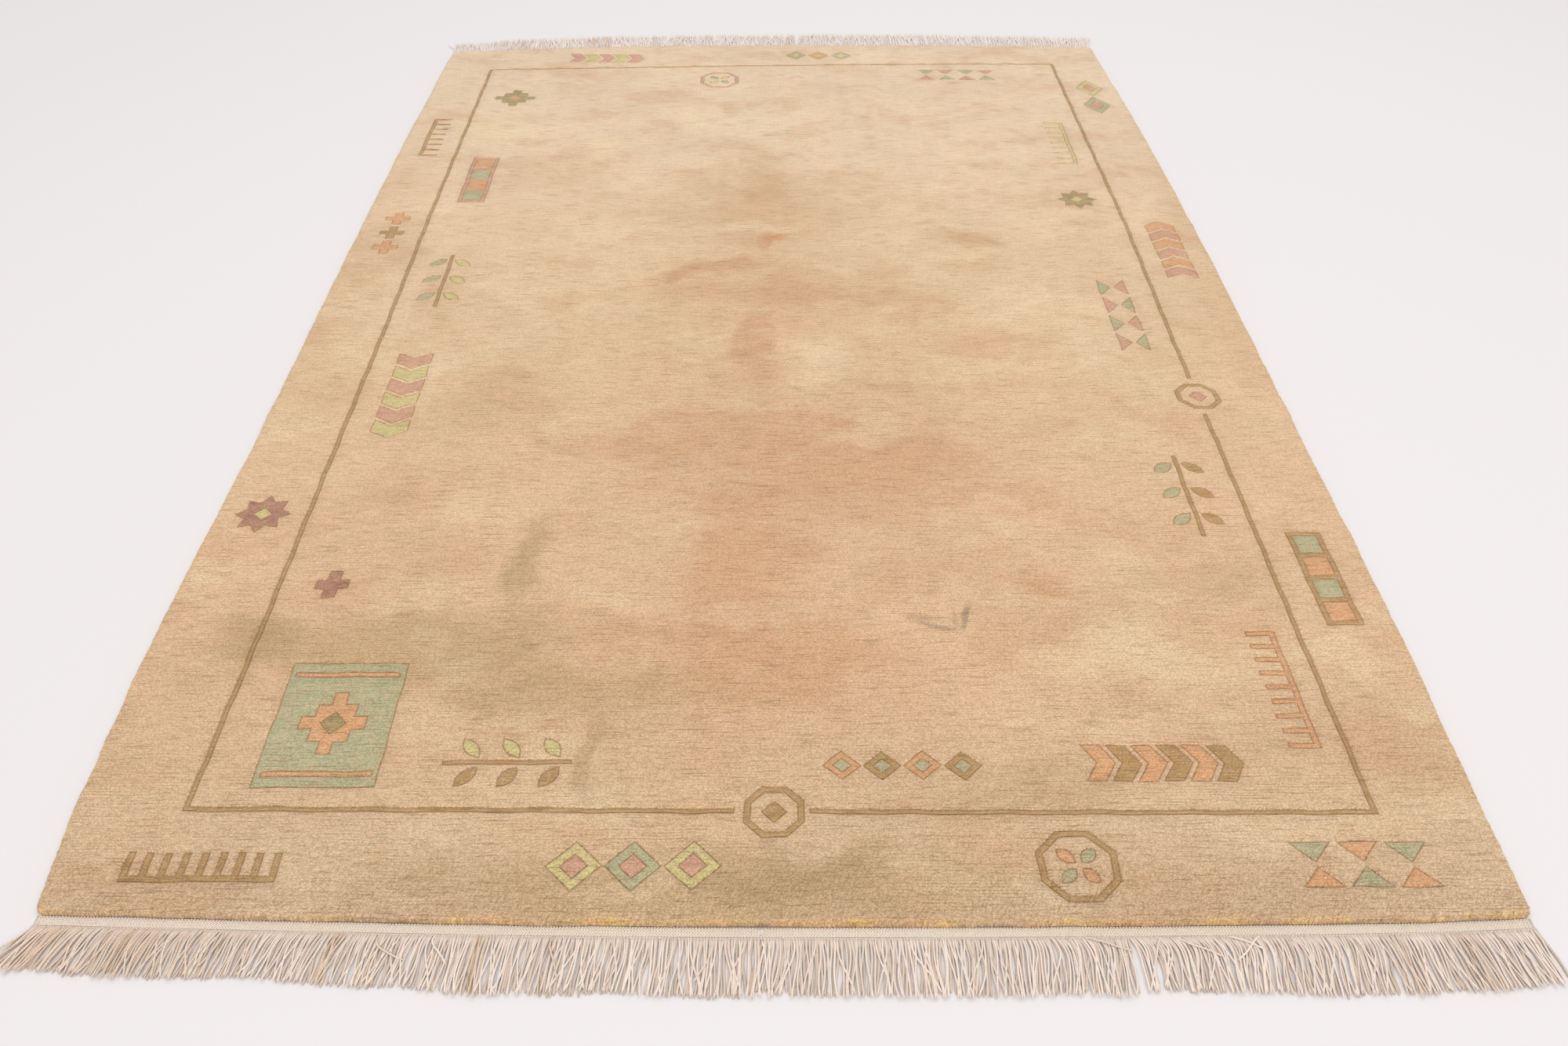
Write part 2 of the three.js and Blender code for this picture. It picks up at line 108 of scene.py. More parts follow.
def side_point(side, along):
    corner = 0 if side == "left" else 1
    front, back = end_y("front", corner), end_y("back", corner)
    return np.stack([side_x(side, along), front + (back - front) * along], -1)


def end_point(end, across):
    corner = 0 if end == "front" else 1
    left, right = side_x("left", corner), side_x("right", corner)
    return np.stack([left + (right - left) * across, end_y(end, across)], -1)


CAD_STEPS = np.arange(1, 12) / 12
body_low = np.array(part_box("rug_body")[0][:2]) / MM
SHIFT = body_low - [side_x("left", CAD_STEPS).min(), end_y("front", CAD_STEPS).min()]
print("shift from the rug's middle to the frame, mm:", SHIFT.round(2))

# %% [markdown]
# ## The camera
# The camera comes first, so that every later choice can be judged against the photograph. Its place was found
# by matching the rug's four corners and the frame line's four corners. It looks down at about 42 degrees with
# a short lens, and is turned by about a degree.

# %% Camera
PHOTO_WIDTH = 2000
FOCAL_PIXELS = 1601.887
SENSOR_WIDTH = 36.0
LOOK_DOWN, LOOK_ASIDE, TILT = 0.7271, 0.0209, 0.0155
CAMERA_PLACE = Vector((-34.8 + SHIFT[0], -2411.1 + SHIFT[1], 1513.9)) * MM

ahead = Vector((
    math.sin(LOOK_ASIDE) * math.cos(LOOK_DOWN),
    math.cos(LOOK_ASIDE) * math.cos(LOOK_DOWN),
    -math.sin(LOOK_DOWN),
))
level = Vector((math.cos(LOOK_ASIDE), -math.sin(LOOK_ASIDE), 0))
upright = level.cross(ahead)
right = level * math.cos(TILT) + upright * math.sin(TILT)
up = upright * math.cos(TILT) - level * math.sin(TILT)

camera = bpy.data.objects.new("camera", bpy.data.cameras.new("camera"))
bpy.context.collection.objects.link(camera)
camera.data.sensor_width = SENSOR_WIDTH
camera.data.lens = SENSOR_WIDTH * FOCAL_PIXELS / PHOTO_WIDTH
turned = Matrix((right, up, -ahead)).transposed().to_4x4()
camera.matrix_world = Matrix.Translation(CAMERA_PLACE) @ turned
bpy.context.scene.camera = camera
print("lens, mm:", round(camera.data.lens, 2))

# %% [markdown]
# ## The outline
# The pile stands on the knotted ground right out to the edges, so one closed outline carries all its levels.
# It is cut fine enough for the tufts to show: finest along the front, where the camera stands close.

# %% The rug's outline, anticlockwise from the front left corner
EDGE_PITCH = {"front": 1.8, "right": 5.0, "back": 3.6, "left": 5.0}
CORNER_STEPS = np.linspace(0, 1, 9)[1:-1, None]


def edge_run(edge):
    """Points along one edge, without the rounding of its corners."""
    at_end = edge in ("front", "back")
    length = RUG_WIDTH if at_end else RUG_LENGTH
    cut = CORNER_RADIUS / length
    places = np.linspace(cut, 1 - cut, round(length / EDGE_PITCH[edge]))
    points = end_point(edge, places) if at_end else side_point(edge, places)
    return points if edge in ("front", "right") else points[::-1]


def rounded_corner(start, corner, end):
    t = CORNER_STEPS
    return start * (1 - t) ** 2 + corner * 2 * t * (1 - t) + end * t**2


SHARPEST_MITRE = 0.42


def moved(points, distance):
    """A closed outline moved outwards, its corners kept as mitres unless they are very sharp."""
    towards = np.roll(points, -1, 0) - points
    towards /= np.linalg.norm(towards, axis=1, keepdims=True) + 1e-9
    out = np.stack([towards[:, 1], -towards[:, 0]], 1)
    both = out + np.roll(out, 1, 0)
    both /= np.linalg.norm(both, axis=1, keepdims=True) + 1e-9
    mitre = 1 / np.maximum((both * out).sum(1), SHARPEST_MITRE)
    return points + both * (mitre * distance)[:, None]


runs = {edge: edge_run(edge) for edge in ("front", "right", "back", "left")}
corners = {
    "front": end_point("front", 1.0), "right": end_point("back", 1.0),
    "back": end_point("back", 0.0), "left": end_point("front", 0.0),
}
outline, outline_edges = [], []
for edge, after in zip(runs, ("right", "back", "left", "front")):
    bend = rounded_corner(runs[edge][-1], corners[edge], runs[after][0])
    outline += [runs[edge], bend]
    outline_edges += [edge] * (len(runs[edge]) + len(bend))
outline = np.vstack(outline)
outline_edges = np.array(outline_edges)
print("outline points:", len(outline))

# %% [markdown]
# ## The motifs
# On such a rug small motifs are knotted in other dyes along a thin frame line, and the pile is then carved
# with shears along every change of colour. The motifs here are plain ones that many weavers share, in a
# layout of their own: lozenges, stepped diamonds, combs, chevrons, crosses, rosettes and leaf sprigs. They
# could be traced as curves. Each is a few lines of geometry instead, so a table can lay them out at any size.
# A motif gives closed outlines, each with the dye that fills it, and an inner outline wins over the one round
# it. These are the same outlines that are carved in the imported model.

# %% Plain outlines
RIM, STEM_WIDTH, LEAF_ANGLE, SHAPE_GAP, POINT_GAP = 9, 7, 52, 10, 4


def diamond(w, h):
    return np.array([(w / 2, 0), (0, h / 2), (-w / 2, 0), (0, -h / 2)])


def oblong(w, h):
    return np.array([(-w / 2, -h / 2), (w / 2, -h / 2), (w / 2, h / 2), (-w / 2, h / 2)])


def ring(w, h, corners):
    angle = 2 * np.pi * (np.arange(corners) + 0.5) / corners
    return np.stack([w * np.cos(angle), h * np.sin(angle)], 1) / 2 / math.cos(math.pi / corners)


def star(w, h, tips, waist):
    angle = np.pi * np.arange(2 * tips) / tips
    reach = np.where(np.arange(2 * tips) % 2, waist, 1)
    return np.stack([w * np.cos(angle), h * np.sin(angle)], 1) / 2 * reach[:, None]


def stairs(w, h, steps):
    wide, high = w / (2 * steps - 1), h / (2 * steps - 1)
    quarter = []
    for k in range(steps):
        x = (steps - k - 0.5) * wide
        quarter += [(x, (k - 0.5) * high)] * (k > 0) + [(x, (k + 0.5) * high)]
    quarter = np.array(quarter)
    turns = [quarter, (quarter * (-1, 1))[::-1], quarter * (-1, -1), (quarter * (1, -1))[::-1]]
    return np.vstack(turns)


def cross(w, h, arm):
    a = arm / 2
    return np.array([
        (a, -h / 2), (a, -a), (w / 2, -a), (w / 2, a), (a, a), (a, h / 2),
        (-a, h / 2), (-a, a), (-w / 2, a), (-w / 2, -a), (-a, -a), (-a, -h / 2),
    ])


def comb(w, h, teeth, thick):
    top = []
    for k in reversed(range(teeth)):
        left = -w / 2 + k * (w - thick) / (teeth - 1)
        low = -h / 2 + thick
        top += [(left + thick, low), (left + thick, h / 2), (left, h / 2), (left, low)]
    return np.array([(-w / 2, -h / 2), (w / 2, -h / 2), *top[1:-1]])


def chevron(w, h, thick):
    return np.array([
        (-w / 2, -h / 2), (-w / 2 + thick, -h / 2), (w / 2, 0),
        (-w / 2 + thick, h / 2), (-w / 2, h / 2), (w / 2 - thick, 0),
    ])


def leaf(length, width):
    t = np.arange(4) / 4
    side = np.stack([length * (t - 0.5), -width / 2 * np.sin(np.pi * t) ** 0.8], 1)
    return np.vstack([side, -side])


def placed(points, x, y, turn=0.0):
    c, s = math.cos(math.radians(turn)), math.sin(math.radians(turn))
    return points @ np.array([(c, s), (-s, c)]) + (x, y)


# %% [markdown]
# ## From outlines to motifs
# A motif is a handful of outlines, the outer ones first. Most repeat one shape in a row, and the first two
# dyes change over from place to place, as weavers like to do. The numbers stand for the dyes that the layout
# gives, so the same motif can be knotted in other colours.

# %% Motifs: outlines with the dye of each, by number, where 0 is the plain field
def in_row(n, width, fills):
    """The same outlines in n equal places, the two first dyes changing over from place to place."""
    row = []
    for i in range(n):
        x = (i + 0.5 - n / 2) * (width / n)
        for points, dye in fills:
            swapped = 3 - dye if dye in (1, 2) and i % 2 else dye
            row.append((placed(points, x, 0), swapped))
    return row


def lozenges(w, h, n):
    wide = w / n - POINT_GAP
    return in_row(n, w, [(diamond(wide, h), 1), (diamond(wide / 2, h / 2), 3)])


def hourglasses(w, h, n):
    side = (w / n - SHAPE_GAP) / 2
    upper = np.array([(-side, h / 2), (0, POINT_GAP), (side, h / 2)])
    lower = np.array([(-side, -h / 2), (side, -h / 2), (0, -POINT_GAP)])
    return in_row(n, w, [(upper, 1), (lower, 2)])


def sprig(w, h, n):
    leaves = [
        (placed(leaf(h * 0.5, h * 0.25), w * along, side * h * 0.3, 180 - side * LEAF_ANGLE), dye)
        for along in (-0.3, 0.02, 0.34) for side, dye in ((1, 2), (-1, 3))
    ]
    return [(oblong(w, STEM_WIDTH), 1), *leaves]


def rosette(w, h, n):
    petal = placed(leaf(w * 0.28, w * 0.17), w * 0.2, 0)
    petals = [(placed(petal, 0, 0, angle), 2 + i % 2) for i, angle in enumerate((45, 135, 225, 315))]
    return [(ring(w, h, 8), 1), (ring(w - 2 * RIM, h - 2 * RIM, 8), 0), *petals]


def checks(w, h, n):
    check = oblong((w - RIM) / n - SHAPE_GAP, h - 2 * RIM)
    inner = [(points, 2 + i % 2) for i, (points, _) in enumerate(in_row(n, w - RIM, [(check, 0)]))]
    return [(oblong(w, h), 1), *inner]


def panel(w, h, n):
    bars = [(placed(oblong(w - 2 * RIM, RIM), 0, up * h), 2) for up in (-0.4, 0.4)]
    return [(oblong(w, h), 1), (stairs(w * 0.56, h * 0.5, 3), 2), (diamond(w * 0.22, h * 0.18), 3), *bars]


MOTIFS = {
    "lozenges": lozenges, "hourglasses": hourglasses, "sprig": sprig, "rosette": rosette,
    "checks": checks, "panel": panel,
    "chevrons": lambda w, h, n: in_row(n, w, [(chevron(w / n + SHAPE_GAP, h, w / n - SHAPE_GAP), 1)]),
    "crosses": lambda w, h, n: in_row(n, w, [(cross(w / n - SHAPE_GAP, h, h / 3), 1)]),
    "comb": lambda w, h, n: [(comb(w, h, n, RIM), 1)],
    "stairs": lambda w, h, n: [(stairs(w, h, 3), 1), (diamond(w / 3, h / 3), 2)],
    "star": lambda w, h, n: [(star(w, h, 8, 0.66), 1), (diamond(w / 3, h / 3), 2)],
    "medallion": lambda w, h, n: [
        (ring(w, h, 8), 1), (ring(w - 2 * RIM, h - 2 * RIM, 8), 0), (diamond(w * 0.42, h * 0.42), 2),
    ],
}

# %% [markdown]
# ## The layout
# The motifs lie outside and inside the frame line, a hand's width apart. A table places them, because it is
# easier to read and to change than thirty calls would be.

# %% The layout: motif, middle, width, height, count, turn in degrees, and its dyes
LAYOUT = [
    ("panel", -690, -1180, 180, 240, 1, 0, "sage peach olive"),
    ("sprig", -415, -1255, 190, 88, 1, 0, "khaki lime khaki"),
    ("lozenges", -215, -1432, 246, 78, 3, 0, "lime sage rose"),
    ("comb", -805, -1432, 210, 46, 9, 0, "khaki"),
    ("medallion", -20, -1343, 86, 86, 1, 0, "line khaki"),
    ("lozenges", 170, -1262, 240, 52, 4, 0, "peach khaki sage"),
    ("rosette", 400, -1434, 112, 112, 1, 0, "khaki sage peach"),
    ("chevrons", 560, -1258, 230, 66, 6, 0, "peach khaki"),
    ("hourglasses", 800, -1432, 204, 72, 3, 0, "sage peach"),
    ("comb", 782, -1110, 240, 48, 9, 90, "peach"),
    ("checks", 932, -860, 230, 62, 4, 90, "khaki peach sage"),
    ("sprig", 752, -640, 230, 96, 1, 90, "khaki sage khaki"),
    ("medallion", 850, -330, 86, 86, 1, 0, "line rose"),
    ("hourglasses", 762, -20, 300, 62, 4, 90, "rose sage"),
    ("chevrons", 938, 270, 260, 70, 6, 90, "rose peach"),
    ("star", 760, 520, 100, 100, 1, 0, "olive lime"),
    ("comb", 776, 850, 260, 50, 9, 90, "lime"),
    ("lozenges", 926, 1160, 240, 80, 2, 90, "sage lime rose"),
    ("hourglasses", 540, 1312, 240, 74, 4, 0, "sage rose"),
    ("lozenges", 130, 1454, 210, 66, 3, 0, "sage peach lime"),
    ("rosette", -170, 1262, 112, 112, 1, 0, "rose lime sage"),
    ("chevrons", -520, 1420, 220, 66, 5, 0, "rose lime"),
    ("stairs", -756, 1120, 110, 110, 1, 0, "olive peach"),
    ("comb", -934, 860, 230, 48, 8, -90, "khaki"),
    ("checks", -774, 610, 250, 66, 4, 90, "rose sage peach"),
    ("crosses", -936, 330, 210, 58, 3, 90, "peach khaki"),
    ("sprig", -768, 110, 230, 96, 1, 90, "khaki sage lime"),
    ("chevrons", -768, -330, 280, 70, 6, -90, "rose lime"),
    ("star", -938, -700, 100, 100, 1, 0, "plum lime"),
    ("crosses", -768, -880, 64, 64, 1, 0, "plum"),
]

shapes = []
for name, x, y, w, h, n, turn, dyes in LAYOUT:
    names = ["field", *dyes.split(), "khaki", "khaki"]
    shapes += [(placed(points, x, y, turn), names[dye]) for points, dye in MOTIFS[name](w, h, n)]
print("motif outlines:", len(shapes))

# %% [markdown]
# ## The frame line
# A thin line in a darker dye runs right round the field, and a medallion interrupts it at the front and one
# on the right. It is a path from two short tables. Each stretch between the medallions becomes a narrow
# closed outline, so it can be carved and dyed just as a motif is.

# %% The frame line as narrow closed outlines
LINE_WIDTH, LINE_PITCH, MEDALLION_GAP = 7.0, 12, 7.4
LINE_SIDES = table(
    "y left right",
    (-1338, -858, 838), (-1000, -856, 846), (-560, -857, 849), (-100, -857, 850),
    (400, -861, 857), (900, -860, 851), (1330, -857, 845),
)
LINE_ENDS = table(
    "x front back",
    (-858, -1337, 1325), (-500, -1339, 1346), (-150, -1342, 1366),
    (250, -1345, 1384), (600, -1346, 1396), (845, -1346, 1397),
)


def resampled(points, pitch):
    """A closed outline with its corners kept and its edges cut into even steps."""
    ends = np.roll(points, -1, 0)
    steps = np.maximum(np.round(np.linalg.norm(ends - points, axis=1) / pitch), 1).astype(int)
    return np.vstack([a + (b - a) * np.arange(n)[:, None] / n for a, b, n in zip(points, ends, steps)])


side_rows = [np.stack([LINE_SIDES[s], LINE_SIDES["y"]], 1)[1:-1] for s in ("right", "left")]
end_rows = [np.stack([LINE_ENDS["x"], LINE_ENDS[e]], 1) for e in ("front", "back")]
line_path = np.vstack([end_rows[0], side_rows[0], end_rows[1][::-1], side_rows[1][::-1]])
line_path = resampled(line_path, LINE_PITCH)
clear = np.ones(len(line_path), bool)
for name, x, y, w, *_ in LAYOUT:
    if name == "medallion":
        clear &= np.linalg.norm(line_path - (x, y), axis=1) > w / 2 + MEDALLION_GAP
first = int(np.argmin(clear))
line_path, clear = np.roll(line_path, -first, 0), np.roll(clear, -first)
line_edges = [moved(line_path, side * LINE_WIDTH / 2) for side in (1, -1)]
changes = np.flatnonzero(np.diff(clear.astype(int))) + 1
for start, stop in zip(changes[::2], [*changes[1::2], len(clear)][: len(changes[::2])]):
    strip = np.vstack([line_edges[0][start:stop], line_edges[1][start:stop][::-1]])
    shapes.append((strip, "line"))
print("stretches of frame line:", len(changes[::2]))

# %% [markdown]
# ## Carved by hand
# Shears follow the colours by eye, so no carved line is quite straight. Each outline is cut into short steps
# and pushed about by up to a millimetre, in waves a few centimetres long. One field of waves moves them all,
# so lines that lie side by side stay side by side.

# %% Wobbling the outlines
CARVE_PITCH, CARVE_REACH = 7.0, 1.1


def wandered(points, reach):
    """Points pushed about by slow waves, the same wave for neighbouring points."""
    x, y = points[:, 0] / 23, points[:, 1] / 23
    aside = np.sin(y + 1.9 * np.sin(x * 0.41 + 2)) + 0.6 * np.sin(2.3 * y - x * 0.7)
    along = np.sin(x * 1.1 + 1.7 * np.sin(y * 0.37)) + 0.6 * np.sin(2.1 * x + y * 0.8 + 1)
    return points + reach / 1.6 * np.stack([aside, along], 1)


carved = [(wandered(resampled(points, CARVE_PITCH), CARVE_REACH), dye) for points, dye in shapes]
carved_length = sum(np.linalg.norm(np.roll(p, -1, 0) - p, axis=1).sum() for p, _ in carved)
print("carved lines, m:", round(carved_length * MM, 1))


def distance_to_carving(points):
    """How far each point is from the nearest carved line, up to a few millimetres."""
    FAR, RUN = 9.0, 24
    nearest = np.full(len(points), FAR)
    for path, _ in carved:
        starts, ends = path, np.roll(path, -1, 0)
        for k in range(0, len(path), RUN):
            a, b = starts[k:k + RUN], ends[k:k + RUN]
            low, high = np.minimum(a, b).min(0) - FAR, np.maximum(a, b).max(0) + FAR
            near = np.flatnonzero(((points > low) & (points < high)).all(1))
            if not len(near):
                continue
            run, off = b - a, points[near][:, None] - a
            t = np.clip((off * run).sum(-1) / np.maximum((run * run).sum(-1), 1e-9), 0, 1)
            gap = np.linalg.norm(off - run * t[..., None], axis=-1).min(1)
            nearest[near] = np.minimum(nearest[near], gap)
    return nearest


def inside(points, path):
    """Which points lie inside a closed path."""
    a, b = path, np.roll(path, -1, 0)
    px, py = points[:, 0][:, None], points[:, 1][:, None]
    crosses = (a[:, 1] > py) != (b[:, 1] > py)
    rise = np.where(np.abs(b[:, 1] - a[:, 1]) < 1e-9, 1e-9, b[:, 1] - a[:, 1])
    at = a[:, 0] + (py - a[:, 1]) / rise * (b[:, 0] - a[:, 0])
    return (crosses & (px < at)).sum(1) % 2 == 1


# %% [markdown]
# ## The pile's plan
# Drawing such outlines into a face by hand needs the knife and a window, and a plain grid fine enough for
# such narrow grooves would take millions of faces. So the plan is triangulated between the carved
# lines: the lines stay as edges, rows of points beside them shape the grooves, and a loose grid fills the
# open field. The faces are small where the shears went and large where they did not.

# %% Triangulating the pile's plan
EDGE_LEVELS = [  # height, drawn in, and how far down the edge this level counts
    (12.9, 10.0, 0.0), (12.5, 6.8, 0.2), (11.6, 4.2, 0.4), (10.0, 2.2, 0.6),
    (7.6, 0.8, 0.75), (4.6, 0.1, 0.9), (1.8, 0.3, 1.0), (0.0, 1.0, 1.0),
]
GROOVE_ROWS = [0.9, 1.9, 3.2]
FIELD_PITCH, FIELD_INSET, FIELD_CLEAR = 24.0, 22, 7


def triangulated(rings, loose):
    """Triangles over closed rings, whose edges are kept, and over loose points. The first ring is the border.
    Gives the points, the triangles, and the new number of each of the border's points."""
    points = np.vstack([*rings, loose]) if len(loose) else np.vstack(rings)
    edges, start = [], 0
    for path in rings:
        n = len(path)
        edges += [(start + i, start + (i + 1) % n) for i in range(n)]
        start += n
    found = delaunay_2d_cdt([Vector(p) for p in points], edges, [], 1, 1e-4, True)
    where = {old: new for new, olds in enumerate(found[3]) for old in olds}
    border = np.array([where[i] for i in range(len(rings[0]))])
    found_points, found_faces = np.array([v[:] for v in found[0]]), np.array([f[:] for f in found[2]])
    return found_points, np.delete(found_faces, beyond(border, found_faces), 0), border


def beyond(border, faces):
    """Triangles outside the border: those that run along it the wrong way round, and all that they touch."""
    place = {point: i for i, point in enumerate(border)}
    count = len(border)
    doubtful = np.flatnonzero(np.isin(faces, border).all(1))
    sides = {}
    for face in doubtful:
        for a, b in zip(faces[face], np.roll(faces[face], -1)):
            sides[a, b] = face
    found = {face for (a, b), face in sides.items() if (place[a] - place[b]) % count == 1}
    waiting = list(found)
    while waiting:
        face = waiting.pop()
        for a, b in zip(faces[face], np.roll(faces[face], -1)):
            other = sides.get((b, a))
            along_border = (place[a] - place[b]) % count in (1, count - 1)
            if other is not None and other not in found and not along_border:
                found.add(other)
                waiting.append(other)
    return sorted(found)


rim_ring = moved(outline, -EDGE_LEVELS[0][1])
both_sides = [(path, row, side) for path, _ in carved for row in GROOVE_ROWS for side in (1, -1)]
beside = np.vstack([moved(path, side * row) for path, row, side in both_sides])
row_of = np.concatenate([np.full(len(path), row) for path, row, _ in both_sides])
beside = beside[distance_to_carving(beside) > row_of - 0.25]

low, high = rim_ring.min(0) + FIELD_PITCH / 2, rim_ring.max(0) - FIELD_PITCH / 2
grid = []
for i, y in enumerate(np.arange(low[1], high[1], FIELD_PITCH * 0.87)):
    x = np.arange(low[0] + (i % 2) * FIELD_PITCH / 2, high[0], FIELD_PITCH)
    grid.append(np.column_stack([x, np.full(len(x), y)]))
grid = wandered(np.vstack(grid), 3.0)
grid = grid[inside(grid, moved(outline[::12], -FIELD_INSET)) & (distance_to_carving(grid) > FIELD_CLEAR)]
plan, plan_faces, plan_border = triangulated([rim_ring, *[path for path, _ in carved]],
                                             np.vstack([beside, grid]))
print("pile plan:", len(plan), "points,", len(plan_faces), "triangles")

# %% [markdown]
# ## The pile's height
# A carved line is a soft trough about six millimetres from lip to lip, and its lips are rounded because the
# wool on both sides leans into the cut. Between the lines the pile is trampled unevenly, by well under a
# millimetre, and one old fold crosses the front left as a shallow valley. Sculpting by hand would do it too,
# but a height worked out from the distance to the nearest line is even everywhere.

# %% Heights over the plan
GROOVE_DEPTH = 3.0
FOLD_FROM, FOLD_TO, FOLD_REACH, FOLD_DEPTH = np.array([-432, -790]), np.array([-470, -1330]), 26, 1.1


def smooth(t):
    """From 0 to 1 as t does, but leaving and arriving gently."""
    t = np.clip(t, 0, 1)
    return t * t * (3 - 2 * t)


def trodden(points):
    """Small lumps and hollows of the worn pile."""
    return np.array([
        0.42 * noise.noise((x / 70, y / 70, 0)) + 0.3 * noise.noise((x / 26, y / 26, 5)) for x, y in points
    ])


def old_fold(points):
    run = FOLD_TO - FOLD_FROM
    t = np.clip((points - FOLD_FROM) @ run / (run @ run), 0, 1)
    gap = np.linalg.norm(points - FOLD_FROM - t[:, None] * run, axis=1)
    return np.exp(-(gap / FOLD_REACH) ** 2) * np.sin(np.pi * np.clip(t, 0.02, 0.98))


plan_carve = smooth(1 - distance_to_carving(plan) / GROOVE_ROWS[-1])
plan_height = PILE_HEIGHT - 0.1 + trodden(plan) - FOLD_DEPTH * old_fold(plan) - GROOVE_DEPTH * plan_carve
print("pile height, mm:", plan_height.min().round(2), "to", plan_height.max().round(2))

# %% [markdown]
# ## The tufted edge
# At the edge the wool leans out over its knots, so the side is round and shows slanting rolls of tufts. A
# bevel would give it the roundness alone. Here eight copies of the outline are stacked from the top to the
# floor, each drawn in by its own amount and pushed out where a tuft is.

# %% The rounded, tufted edge, level by level
TUFT, TUFT_REACH, FOOT_REACH = 6.0, 1.25, 0.4


def tufts(points, run, height, reach):
    """How far the tufts push the edge out: slanting rolls of wool, broken up by noise."""
    slant = np.sin(2 * np.pi * (run + 0.9 * height) / TUFT + 2.2 * np.sin(run / 37))
    rough = np.array([noise.noise((x / 5, y / 5, height / 4)) for x, y in points])
    slow = np.array([noise.noise((x / 75, y / 75, 3)) for x, y in points])
    scallop = np.sin(run / 34 + 2.4 * np.sin(run / 103))
    return reach * (0.5 * slant + 0.9 * rough) + 1.6 * slow + 0.5 * scallop


run_length = np.concatenate([[0], np.cumsum(np.linalg.norm(np.diff(outline, axis=0), axis=1))])
levels = []
for k, (height, drawn_in, depth) in enumerate(EDGE_LEVELS):
    push = -drawn_in
    if k > 0:
        push = push + tufts(outline, run_length, height, TUFT_REACH if height else FOOT_REACH)
    ring_points = outline + (moved(outline, 1) - outline) * np.reshape(push, (-1, 1))
    lift = 0 if height == 0 else 0.35 * np.sin(run_length / 19 + 1.3 * np.sin(run_length / 71))
    levels.append(np.column_stack([ring_points, np.full(len(outline), height) + lift * (k > 0)]))
print("edge levels:", len(levels), "of", len(outline), "points")

# %% [markdown]
# ## The underside
# Seen from below a knotted rug shows its design in reverse, as rows of knots. The underside is flat, so its
# plan needs only the plain outlines, and takes few faces.

# %% The underside's plan, and all levels joined into one closed shape
UNDER_PITCH = 60
seen_below = [(wandered(resampled(points, UNDER_PITCH), CARVE_REACH), dye) for points, dye in shapes]
under, under_faces, under_border = triangulated(
    [levels[-1][:, :2], *[points for points, _ in seen_below]], [])
n_top, n_ring = len(plan), len(outline)
side_levels = levels[1:-1]
top_points = np.column_stack([plan, plan_height])
top_points[plan_border, 2] = EDGE_LEVELS[0][0] + 0.3 * trodden(plan[plan_border])
under_points = np.column_stack([under, np.zeros(len(under))])
pile_points = np.vstack([top_points, *side_levels, under_points])

ring_numbers = [plan_border]
ring_numbers += [n_top + k * n_ring + np.arange(n_ring) for k in range(len(side_levels))]
ring_numbers += [n_top + len(side_levels) * n_ring + under_border]
side_faces = np.vstack([
    np.column_stack([high, low, np.roll(low, -1), np.roll(high, -1)])
    for high, low in zip(ring_numbers, ring_numbers[1:])
])
under_start = n_top + len(side_levels) * n_ring

under_faces = under_faces[:, ::-1]
pile_faces = [*plan_faces.tolist(), *side_faces.tolist(), *(under_faces + under_start).tolist()]


def piece(name, points, faces):
    """A mesh object from points in rug millimetres, placed in the frame, in metres, and smooth."""
    mesh = bpy.data.meshes.new(name)
    placed_points = (np.asarray(points) + (SHIFT[0], SHIFT[1], 0)) * MM
    mesh.from_pydata(placed_points.tolist(), [], faces)
    mesh.update()
    made = bpy.data.objects.new(name, mesh)
    bpy.context.collection.objects.link(made)
    bpy.ops.object.select_all(action="DESELECT")
    made.select_set(True)
    bpy.context.view_layer.objects.active = made
    bpy.ops.object.shade_smooth()
    made.select_set(False)
    return made


carved_pile = piece("carved_pile", pile_points, pile_faces)
triangles = len(plan_faces) + 2 * len(side_faces) + len(under_faces)
print("carved pile:", len(pile_points), "points,", triangles, "triangles")

# %% [markdown]
# ## Dyes on the faces
# Each face takes the dye of the innermost outline that holds its middle. The dye is kept as a colour on the
# mesh, so the colours change exactly along the carved edges and the same wool material serves them all. Its
# alpha says how much of the dye has stayed: none on the plain field, whose fading the material works out.

# %% Dyes
DYES = {
    "field": "#d8b794", "sage": "#aaa983", "lime": "#cabd82", "rose": "#c8967f", "peach": "#d39c6f",
    "plum": "#a0705e", "khaki": "#a98551", "olive": "#988856", "line": "#a68451",
}


def linear(code):
    """A web colour as the linear red, green and blue that a renderer works in."""
    parts = [int(code[i:i + 2], 16) / 255 for i in (1, 3, 5)]
    return [c / 12.92 if c <= 0.04045 else ((c + 0.055) / 1.055) ** 2.4 for c in parts]


def solid(code):
    return (*linear(code), 1)


plain = [*linear(DYES["field"]), 0.0]


def face_dyes(points, faces, outlines):
    middles = points[faces].mean(1)
    colours = np.tile(plain, (len(faces), 1))
    for path, dye in outlines:
        low, high = path.min(0), path.max(0)
        near = np.flatnonzero(((middles > low) & (middles < high)).all(1))
        if not len(near):
            continue
        hit = near[inside(middles[near], path)]
        colours[hit] = [*linear(DYES[dye]), 0.0 if dye == "field" else 1.0]
    return colours


corner_dyes = np.vstack([
    np.repeat(face_dyes(plan, plan_faces, carved), 3, 0),
    np.tile(plain, (4 * len(side_faces), 1)),
    np.repeat(face_dyes(under, under_faces, seen_below), 3, 0),
])
dye_layer = carved_pile.data.attributes.new("dye", "FLOAT_COLOR", "CORNER")
dye_layer.data.foreach_set("color", corner_dyes.ravel())
print("dyed corners:", int((corner_dyes[:, 3] > 0).sum()), "of", len(corner_dyes))

# %% [markdown]
# ## Marks that the material reads
# Three more values ride on the points. "carve" is how deep a point lies in a groove, where the wool is in
# shade. "foot" is how far down the edge it lies. "gold" is how much of the first, unfaded yellow the edge
# still shows there: a lot along the front, little at the back.

